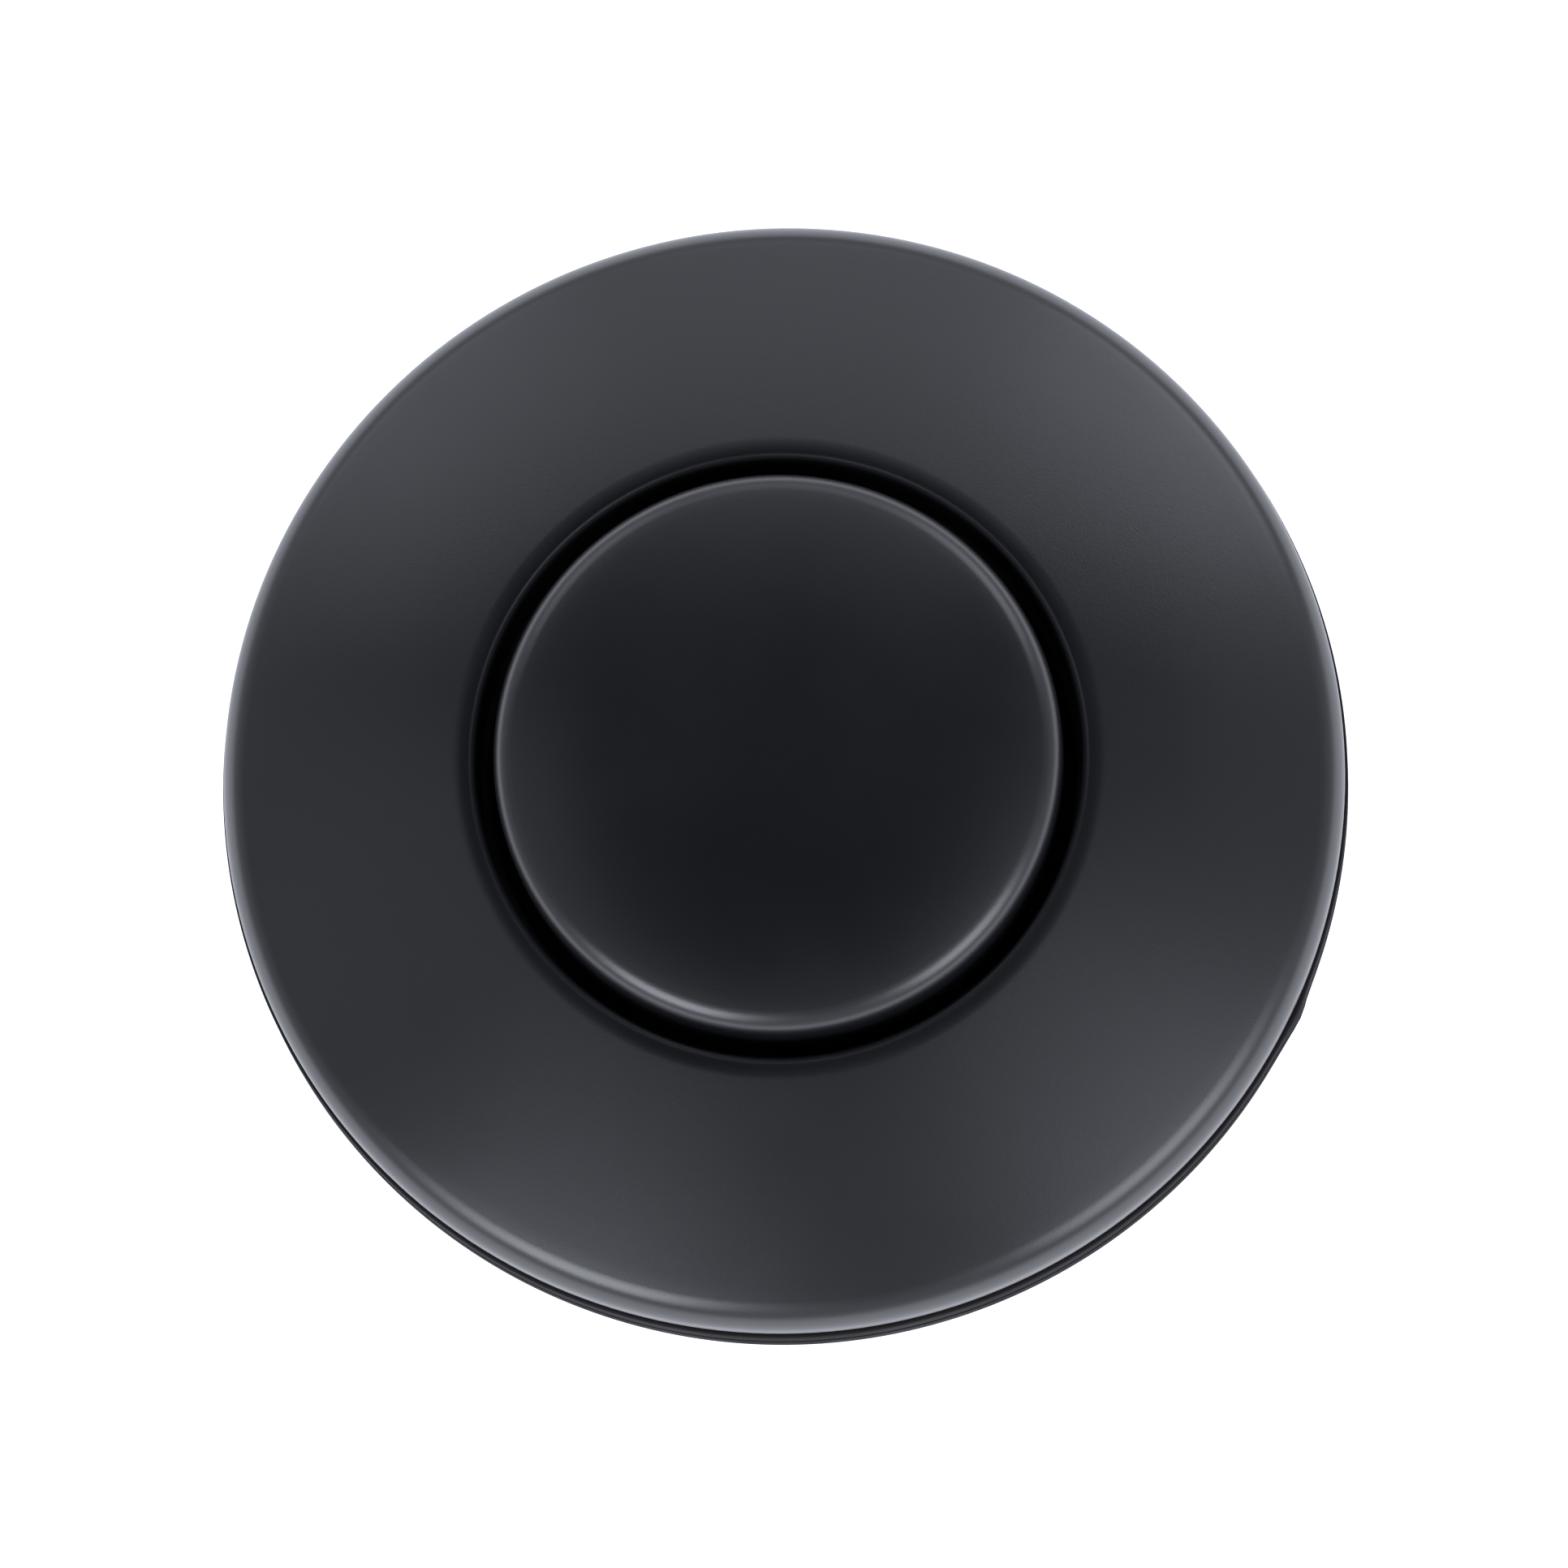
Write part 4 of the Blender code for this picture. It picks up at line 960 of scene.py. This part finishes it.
def seal_outline(inner, outer, top, bottom):
    """Section of the stem's seal: a thin lip at each end of its bore, and two beads round its outside."""
    high, middle = top - bottom, (top + bottom) / 2
    back, lip = outer - 0.2 * MM, inner + 0.35 * MM
    return rounded(
        4, (inner, bottom + 0.12 * high, 0.05), (lip, bottom, 0.1), (back, bottom, 0.1),
        (outer, bottom + 0.25 * high, 0.15), (back, middle, 0.15), (outer, top - 0.25 * high, 0.15),
        (back, top, 0.1), (lip, top, 0.1), (inner, top - 0.12 * high, 0.05), (lip, middle, 0.15),
    )


def bush_outline(inner, outer, top, bottom):
    """Section of the stem's bush, with a shallow groove round its outside."""
    middle, back = (top + bottom) / 2, outer - 0.25 * MM
    return rounded(
        4, (inner, bottom, 0.25), (outer, bottom, 0.2), (outer, middle - 0.5 * MM, 0.05),
        (back, middle - 0.35 * MM, 0.1), (back, middle + 0.35 * MM, 0.1), (outer, middle + 0.5 * MM, 0.05),
        (outer, top, 0.2), (inner, top, 0.25),
    )


def washer(name, node, bore, body):
    """A punched steel washer: rounded where the punch went in, and sharper where it came out."""
    bottom, top, outer = span_of(node)
    ring = rounded(5, (bore, bottom, 0.04), (outer, bottom, 0.04), (outer, top, 0.14), (bore, top, 0.14))
    return turned(name, ring, body, bright_steel(), [node])


class AIRSWITCH_OT_guide(Operator):
    """Builds the stem's seal and bush, and the washer over them"""

    bl_idname = "air_switch.guide"
    bl_label = "Stem guide"

    def execute(self, context):
        size = settings().button
        bore, flat = size.stem + SLIDE_GAP, size.stem - size.stem_flat + SLIDE_GAP
        for name, node, outline, finish in (
            ("stem_seal", "wiper_seal", seal_outline, moulded_rubber()),
            ("stem_bush", "guide_bush", bush_outline, natural_acetal()),
        ):
            ring = spun(outline(bore, radius_of(node), top_of(node), bottom_of(node)))
            press_flat(ring, flat, bore + 0.3 * MM)
            finished(name, ring, "housing", finish, [node])
        washer("lower_washer", "lower_spring_washer", size.stem + WASHER_GAP, "housing")
        return {"FINISHED"}


def soften(piece, low, high):
    """Gives a springy piece a mesh of its own and works out the share of its length that the button's travel
    leaves it; nothing uses that share, and the piece is not made to shorten.
    """
    keep = 1 - button_travel() / (high - low)
    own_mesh(piece)


class AIRSWITCH_OT_spring(Operator):
    """Builds the return spring"""

    bl_idname = "air_switch.spring"
    bl_label = "Return spring"

    def execute(self, context):
        size = settings().spring
        low, high = bottom_of("return_spring"), top_of("return_spring")
        values = {
            "Radius": radius_of("upper_spring_washer") - size.spring_inset - size.wire,
            "Wire radius": size.wire, "Bottom": low + size.wire, "Top": high - size.wire,
            "Coils": float(size.coils), "Closed rise": 2 * size.wire + 0.2 * MM,
            "Points": size.coils * 72 + 1, "Wire points": 16,
        }
        made = grown("spring", coil_spring, values, "housing", bright_steel(), ["return_spring"])
        soften(made, low, high)
        return {"FINISHED"}


def bellows_outline():
    """Round-edged folds with a closed top and a flanged mouth."""
    size = settings().spring
    low, high, foot = span_of("bellows")
    outer = shank_radius() - settings().thread.depth - settings().shank.chamber_wall - 0.7 * MM
    flange_top = low + 1.4 * MM
    top, bottom = high - size.skin, flange_top + size.skin
    step = (top - bottom) / (2 * size.folds)
    fold = [(outer - size.fold_depth * (i % 2 == 0), top - step * i) for i in range(2 * size.folds + 1)]
    neck = fold[0][0]
    outside = [(r, z, 0.75) for r, z in fold]
    inside = [(r - size.skin, z, 0.75) for r, z in fold]
    return rounded(
        6, (0.0, high, 0), (neck - 1.2 * MM, high, 0.5), (neck, high - 0.5 * MM, 0.5), *outside[1:],
        (neck, flange_top, 0.2), (foot, flange_top, 0.3), (foot, low, 0.3), (size.mouth, low, 0.3),
        (size.mouth, flange_top, 0.3), *inside[:0:-1], (neck - size.skin, top, 0.5), (0.0, top, 0),
    )


class AIRSWITCH_OT_bellows(Operator):
    """Builds the rubber bellows"""

    bl_idname = "air_switch.bellows"
    bl_label = "Bellows"

    def execute(self, context):
        made = turned("bellows_skin", bellows_outline(), "housing", bellows_rubber(), ["bellows"])
        soften(made, bottom_of("bellows"), top_of("bellows"))
        return {"FINISHED"}


# What travels with the button ----------------------------------------------------------------------------
def plunger_outline():
    size = settings().button
    foot, top, plate = span_of("plunger")
    socket, socket_floor = size.boss + SLIDE_GAP, bottom_of("button_cap") - SEAT_GAP
    roof, hole, hollow = socket_floor - size.stem_web, 1.4 * MM, size.stem_hollow
    flat, plate_bottom = size.stem - size.stem_flat, top - size.plate
    groove = flat - size.clip_groove
    groove_top, groove_bottom = top_of("retaining_clip") + SLIDE_GAP, bottom_of("retaining_clip") - SLIDE_GAP
    return rounded(
        4, (plate, top, 0.25), (socket, top, 0.2), (socket, socket_floor, 0.15), (hole, socket_floor, 0.15),
        (hole, roof, 0.1), (hollow, roof, 0.3), (hollow, foot, 0.3), (flat, foot, 0.4),
        (flat, groove_bottom, 0.1), (groove, groove_bottom, 0.08), (groove, groove_top, 0.08),
        (size.stem, groove_top, 0.1), (size.stem, plate_bottom, 0.5), (plate, plate_bottom, 0.25),
    )


def screw_outline(radius, head, head_height, length):
    """Pan head with a recess in its middle, seat at 0 and shank up along +Z, pointed."""
    recess, floor = head * 0.52, -head_height * 0.35
    return rounded(
        4, (0.0, floor, 0), (recess * 0.85, floor, 0.04), (recess, -head_height * 0.98, 0.05),
        (head * 0.72, -head_height, 0.3), (head, -head_height * 0.5, 0.3), (head, 0, 0.08),
        (radius, 0, 0.05), (radius, length - radius * 1.4, 0.2), (0.0, length, 0),
    )


def screw_mesh(radius, head, head_height, length, pitch):
    """A screw with a six-lobed recess and a fine thread that dies out below its point."""
    recess = head * 0.6

    def shape(r, z, a):
        """Gives the recess its six lobes."""
        return r * (1 + 0.09 * math.cos(6 * a)) if r < recess and z < 0 else r

    mesh = spun(screw_outline(radius * 0.86, head, head_height, length), 72, shape)
    turns = (length - radius * 1.6) / pitch
    values = {
        "Root radius": radius * 0.86, "Crest radius": radius, "Root half width": pitch * 0.36,
        "Crest half width": pitch * 0.06, "Pitch": pitch, "Turns": turns,
        "Start height": pitch * 0.5, "Start angle": 0.0, "Points": int(turns * 36),
    }
    mesh.from_mesh(grown_mesh("screw_thread", helical_ridge, values))
    return mesh


class AIRSWITCH_OT_plunger(Operator):
    """Builds the plunger and the small pieces that travel with the button"""

    bl_idname = "air_switch.plunger"
    bl_label = "Plunger, screw, clip and pad"

    def execute(self, context):
        size = settings().button
        flat = size.stem - size.stem_flat
        stem = spun(plunger_outline())
        press_flat(stem, flat, size.stem + SLIDE_GAP)
        finished("plunger_stem", stem, "button", natural_acetal(), ["plunger"])
        washer("upper_washer", "upper_spring_washer", size.stem + WASHER_GAP, "button")

        low, high, head = span_of("cap_screw")
        head_height = head / 2
        screw = screw_mesh(head / 2, head, head_height, high - low - head_height, 0.5 * MM)
        bmesh.ops.translate(screw, verts=screw.verts, vec=(0, 0, low + head_height))
        finished("cap_fixing", screw, "button", bright_steel(), ["cap_screw"])

        inner = flat - size.clip_groove + SLIDE_GAP
        clip = clip_mesh(inner, inner + size.clip_width)
        finished("stem_clip", clip, "button", bright_steel(), ["retaining_clip"])

        low, high, outer = span_of("push_pad")
        plug, seat = size.stem_hollow - SLIDE_GAP, bottom_of("plunger") - SEAT_GAP
        pad = rounded(
            4, (0.0, low, 0), (outer * 0.55, low, 0.3), (outer, low + 0.25 * MM, 0.4), (outer, seat, 0.3),
            (plug, seat, 0.1), (plug - 0.15 * MM, (seat + high) / 2, 0.2), (plug, high - 0.3 * MM, 0.2),
            (plug - 0.5 * MM, high, 0.2), (0.0, high, 0),
        )
        turned("stem_pad", pad, "button", moulded_rubber(), ["push_pad"])
        return {"FINISHED"}


def clip_mesh(inner, outer):
    """Open ring, widest half way round and round at its ends."""
    top, bottom = top_of("retaining_clip"), bottom_of("retaining_clip")
    span, steps, soft = TURN * 0.75, 120, 0.06 * MM
    middle, widest = (inner + outer) / 2, (outer - inner) / 2
    mesh = bmesh.new()
    rows = []
    for i in range(steps + 1):
        a = span * i / steps
        end = min(a, span - a) * middle
        half = widest * (0.72 + 0.28 * math.sin(math.pi * i / steps))
        half *= math.sqrt(max(0.0, 1 - max(0.0, 1 - end / half) ** 2)) * 0.98 + 0.02
        reach = inner + half if end > widest else middle
        low, high = max(inner, reach - half), reach + half
        corners = [
            (low, bottom + soft), (low + soft, bottom), (high - soft, bottom), (high, bottom + soft),
            (high, top - soft), (high - soft, top), (low + soft, top), (low, top - soft),
        ]
        rows.append([mesh.verts.new((r * math.cos(a), r * math.sin(a), z)) for r, z in corners])
    for first, second in zip(rows, rows[1:]):
        for k in range(8):
            mesh.faces.new((first[k], first[(k + 1) % 8], second[(k + 1) % 8], second[k]))
    mesh.faces.new(rows[0])
    mesh.faces.new(rows[-1][::-1])
    return mesh


# The foot: base, screws and barb -------------------------------------------------------------------------
def base_mesh():
    """Round base with a hub for the barb under it and a nozzle on top."""
    size = settings().base
    low, top, outer = bottom_of("base_cap"), bottom_of("switch_body") - SEAT_GAP, radius_of("base_cap")
    under, nozzle_top = top - size.thickness, top_of("base_cap")
    nozzle, spigot = settings().spring.mouth - SEAT_GAP, size.spigot + SLIDE_GAP
    return spun(rounded(
        5, (size.air_way, nozzle_top, 0.15), (size.air_way, under, 0.05), (spigot, under, 0.1),
        (spigot, low, 0.25), (size.hub, low, 0.4), (size.hub, under, 0.8),
        (outer, under, 0.6), (outer, top, 0.2), (nozzle, top, 0.2), (nozzle, nozzle_top, 0.4),
    ))


def screw_circle():
    """Radius of the circle that the base's screws stand on."""
    return math.hypot(*(box("base_screw_1")[0] + box("base_screw_1")[1]).xy) / 2


class AIRSWITCH_OT_base(Operator):
    """Builds the base, its screws, and the barb for the air tube with its ring"""

    bl_idname = "air_switch.base"
    bl_label = "Base, screws and barb"

    def execute(self, context):
        size = settings().base
        names = [f"base_screw_{i + 1}" for i in range(size.screws)]
        finished("base", base_mesh(), "housing", black_plastic(), ["base_cap"])

        low, high = box(names[0])
        head = (high.x - low.x) / 2
        head_height = head * 0.8
        mesh = screw_mesh(head / 1.5, head, head_height, high.z - low.z - head_height, 0.6 * MM)
        bmesh.ops.recalc_face_normals(mesh, faces=mesh.faces)
        pattern = bpy.data.meshes.new("screw_pattern")
        mesh.to_mesh(pattern)
        mesh.free()
        source = bpy.data.objects.new("screw_pattern", pattern)
        values = {
            "Copied": source, "Count": size.screws, "Radius": screw_circle(),
            "Height": low.z + head_height, "First angle": math.pi / size.screws, "Turn of each": 0.7,
        }
        grown("base_screws", ring_of_copies, values, "housing", bright_steel(), names)
        bpy.data.objects.remove(source)

        barb = spun(barb_outline(), 144, hexagon)
        finished("barb", barb, "housing", turned_brass(), ["hose_barb"])
        round_ring("barb_ring", "barb_o_ring", 16)
        return {"FINISHED"}


def barb_outline():
    """Spigot with its ring's groove, hexagon, and a row of ridges for the tube, bored right through."""
    size = settings().base
    tip, top, hexed = span_of("hose_barb")
    seat = bottom_of("base_cap") - SEAT_GAP
    under = seat - size.barb_flange
    pitch = (under - tip) / (size.barbs + 1)
    ring = (top_of("barb_o_ring") + bottom_of("barb_o_ring")) / 2
    groove, half = size.spigot - 0.8 * MM, 1.0 * MM
    ridges = []
    for i in range(size.barbs):
        foot = tip + pitch * i
        ridges += [
            (size.barb_neck, foot, 0.1), (size.barb_ridge, foot + pitch - 0.25 * MM, 0.08),
            (size.barb_ridge, foot + pitch, 0.05),
        ]
    return rounded(
        4, (size.air_way, tip, 0.15),
        *ridges,
        (size.barb_neck, tip + pitch * size.barbs, 0.15), (size.barb_neck, under, 0.2),
        (hexed, under, 0.3), (hexed, seat, 0.3),
        (size.spigot, seat, 0.1), (size.spigot, ring - half, 0.08), (groove, ring - half, 0.1),
        (groove, ring + half, 0.1), (size.spigot, ring + half, 0.08), (size.spigot, top, 0.3),
        (size.air_way, top, 0.15),
    )


def hexagon(r, z, a):
    """Cuts the barb's widest ring down to six flats."""
    flat = radius_of("hose_barb") * math.cos(math.pi / 6)
    side = (a % (math.pi / 3)) - math.pi / 6
    return min(r, flat / math.cos(side)) if r > settings().base.hub * 0.6 else r


# The clamp under the countertop --------------------------------------------------------------------------
def nut_mesh():
    """Flange against the washer, and a hub with thick rounded wings round the bore."""
    size, thread = settings().nut, settings().thread
    top, bottom, outer = top_of("mounting_nut"), bottom_of("mounting_nut"), size.flange_radius
    bore = shank_radius() + thread.gap
    hub, shoulder = bore + size.hub_wall, top - size.flange
    outline = rounded(
        7, (bore, bottom + 0.6 * MM, 0.1), (bore + 0.6 * MM, bottom, 0.15), (hub, bottom, 1.1),
        (hub, shoulder, 0.9), (outer, shoulder, 0.5), (outer, top, 0.5), (bore + 0.6 * MM, top, 0.15),
        (bore, top - 0.6 * MM, 0.1),
    )

    def shape(r, z, a):
        """Pushes the hub's wall out to the wings, less near its rounded foot."""
        if r < bore + 0.9 * MM or z > shoulder - 0.05 * MM:
            return r
        across = (r - bore) / size.hub_wall
        fade = min(1.0, (shoulder - z) / (1.2 * MM))
        wing = max(0.0, math.cos(size.wings * a)) ** 0.7
        return r + size.wing_reach * wing * min(1.0, across) * fade ** 0.5

    return spun(outline, 288, shape)


class AIRSWITCH_OT_clamp(Operator):
    """Builds the rubber and steel washers and the winged nut under the countertop"""

    bl_idname = "air_switch.clamp"
    bl_label = "Clamp washers and nut"

    def execute(self, context):
        size, shank, plastic = settings().thread, shank_radius(), black_plastic()
        bore = shank + CLAMP_GAP
        low, high, outer = span_of("clamp_gasket")
        middle = (low + high) / 2
        rubber = rounded(
            4, (bore, low, 0.25), (outer, low, 0.35), (outer, middle - 0.3 * MM, 0.1),
            (outer - 0.2 * MM, middle, 0.15), (outer, middle + 0.3 * MM, 0.1), (outer, high, 0.35),
            (outer - 1.6 * MM, high, 0.1), (outer - 2.0 * MM, high - 0.25 * MM, 0.1),
            (outer - 2.4 * MM, high, 0.1), (bore, high, 0.25),
        )
        turned("clamp_ring", rubber, "clamp_washers", moulded_rubber(), ["clamp_gasket"])
        washer("clamp_washer", "slip_washer", bore, "clamp_washers")

        finished("nut", nut_mesh(), "nut", plastic, ["mounting_nut"])
        # The nut's ridge stands in the middle of the shank's groove.
        root, crest = shank + size.gap, shank - size.depth + size.gap
        play = 0.12 * MM
        values = thread_values(
            root, crest, groove_half(size.depth + size.gap) - play, groove_half(size.gap) - play,
            bottom_of("mounting_nut") + 1.0 * MM, top_of("mounting_nut") - 1.0 * MM, bottom_of("switch_body"),
        )
        grown("nut_thread", helical_ridge, values, "nut", plastic, [])
        return {"FINISHED"}


# The stage -----------------------------------------------------------------------------------------------
def white_world():
    """Pale surroundings that darken to black overhead, as an open-topped white tent."""
    size = settings().stage
    world = bpy.data.worlds.new("White tent")
    bpy.context.scene.world = world
    world.use_nodes = True
    tree = Tree(world.node_tree)
    up = tree.out("ShaderNodeSeparateXYZ", 2, in_0=tree.out("ShaderNodeTexCoord", "Generated"))
    level = tree.remap(up, math.cos(size.tent_low), math.cos(size.tent_high), size.sky, 0.0)
    back = world.node_tree.nodes["Background"]
    tree.feed(back.inputs["Strength"], level)
    back.inputs["Color"].default_value = (*size.light, 1.0)


# Bearing from +X, angle from overhead and watts of each lamp: five strong ones low down, five weak above.
LAMPS = (
    (240, 58, 2.25), (320, 58, 1.87), (52, 58, 0.82), (90, 58, 0.3), (128, 58, 0.44),
    (240, 35, 0.23), (320, 35, 0.3), (0, 35, 0.11), (90, 35, 0.12), (180, 35, 0.17),
)


def soft_lamp(bearing, overhead, power):
    """A square soft lamp that looks at the button."""
    size = settings().stage
    data = bpy.data.lights.new("lamp", "AREA")
    data.shape, data.size, data.energy = "SQUARE", size.lamp_size, power * size.lamp_power
    data.color = size.light
    lamp = bpy.data.objects.new("lamp", data)
    bpy.context.scene.collection.objects.link(lamp)
    across = math.sin(overhead)
    direction = Vector((across * math.cos(bearing), across * math.sin(bearing), math.cos(overhead)))
    lamp.location = direction * size.lamp_distance
    lamp.rotation_euler = direction.to_track_quat("Z", "Y").to_euler()


def camera_at_flange():
    size = settings().stage
    data = bpy.data.cameras.new("Camera")
    camera = bpy.data.objects.new("Camera", data)
    bpy.context.scene.collection.objects.link(camera)
    back = Vector((
        math.sin(size.tilt) * math.sin(size.azimuth),
        -math.sin(size.tilt) * math.cos(size.azimuth),
        math.cos(size.tilt),
    ))
    aim = Vector((size.aim_x, size.aim_y, bottom_of("escutcheon")))
    camera.location = aim + back * size.distance
    side = Vector((0.0, 1.0, 0.0)).cross(back).normalized()
    upward = back.cross(side)
    camera.rotation_euler = Matrix((side, upward, back)).transposed().to_euler()
    data.sensor_width = 36.0
    data.lens = data.sensor_width * size.distance / size.width
    data.clip_start, data.clip_end = 0.01, 10.0
    bpy.context.scene.camera = camera


def white_floor():
    size = settings().stage
    low = CAD_BOX[0][2] - 0.5 * MM
    mesh = bmesh.new()
    bmesh.ops.create_circle(mesh, cap_ends=True, segments=96, radius=1.5)
    bmesh.ops.recalc_face_normals(mesh, faces=mesh.faces)
    if next(iter(mesh.faces)).normal.z < 0:
        bmesh.ops.reverse_faces(mesh, faces=mesh.faces)
    bmesh.ops.translate(mesh, verts=mesh.verts, vec=(0, 0, low))
    data = bpy.data.meshes.new("floor")
    mesh.to_mesh(data)
    mesh.free()
    tree = Finish("white_floor", Roughness=0.9, Emission_Strength=size.floor_glow)
    tree.shader.inputs["Base Color"].default_value = (*size.floor, 1.0)
    tree.shader.inputs["Emission Color"].default_value = (*size.light, 1.0)
    # Seen from below, the floor is clear.
    below, clear = tree.out("ShaderNodeNewGeometry", "Backfacing"), tree.node("ShaderNodeBsdfTransparent")
    mixed = tree.node("ShaderNodeMixShader", in_0=below, in_1=tree.shader, in_2=clear)
    tree.feed(tree.tree.nodes["Material Output"].inputs["Surface"], mixed)
    data.materials.append(tree.material)
    floor = bpy.data.objects.new("floor", data)
    bpy.context.scene.collection.objects.link(floor)


class AIRSWITCH_OT_stage(Operator):
    """Sets the floor, the surroundings, the soft lamps and the camera"""

    bl_idname = "air_switch.stage"
    bl_label = "Stage"

    def execute(self, context):
        context.scene.view_settings.view_transform = "Standard"
        white_world()
        white_floor()
        for bearing, overhead, power in LAMPS:
            soft_lamp(math.radians(bearing), math.radians(overhead), power)
        camera_at_flange()
        return {"FINISHED"}


class AIRSWITCH_PT_panel(Panel):
    """Lists the operators in the order in which they are used"""

    bl_label = "Air switch"
    bl_idname = "AIRSWITCH_PT_panel"
    bl_space_type = "VIEW_3D"
    bl_region_type = "UI"
    bl_category = "Air switch"

    def draw(self, context):
        for operator in OPERATORS:
            self.layout.operator(operator.bl_idname)


GROUPS = (
    FlangeSizes, ButtonSizes, ThreadSizes, ShankSizes, NutSizes, SpringSizes, BaseSizes, Finishes,
    StageSizes, AirSwitchSettings,
)
OPERATORS = (
    AIRSWITCH_OT_flange, AIRSWITCH_OT_button, AIRSWITCH_OT_body, AIRSWITCH_OT_guide, AIRSWITCH_OT_spring,
    AIRSWITCH_OT_bellows, AIRSWITCH_OT_plunger, AIRSWITCH_OT_base, AIRSWITCH_OT_clamp, AIRSWITCH_OT_stage,
)


def register():
    for item in (*GROUPS, *OPERATORS, AIRSWITCH_PT_panel):
        bpy.utils.register_class(item)
    bpy.types.Scene.air_switch = PointerProperty(type=AirSwitchSettings)


def unregister():
    del bpy.types.Scene.air_switch
    for item in reversed((*GROUPS, *OPERATORS, AIRSWITCH_PT_panel)):
        bpy.utils.unregister_class(item)


def main():
    register()
    for operator in OPERATORS:
        group, name = operator.bl_idname.split(".")
        getattr(getattr(bpy.ops, group), name)()


if __name__ == "__main__":
    main()
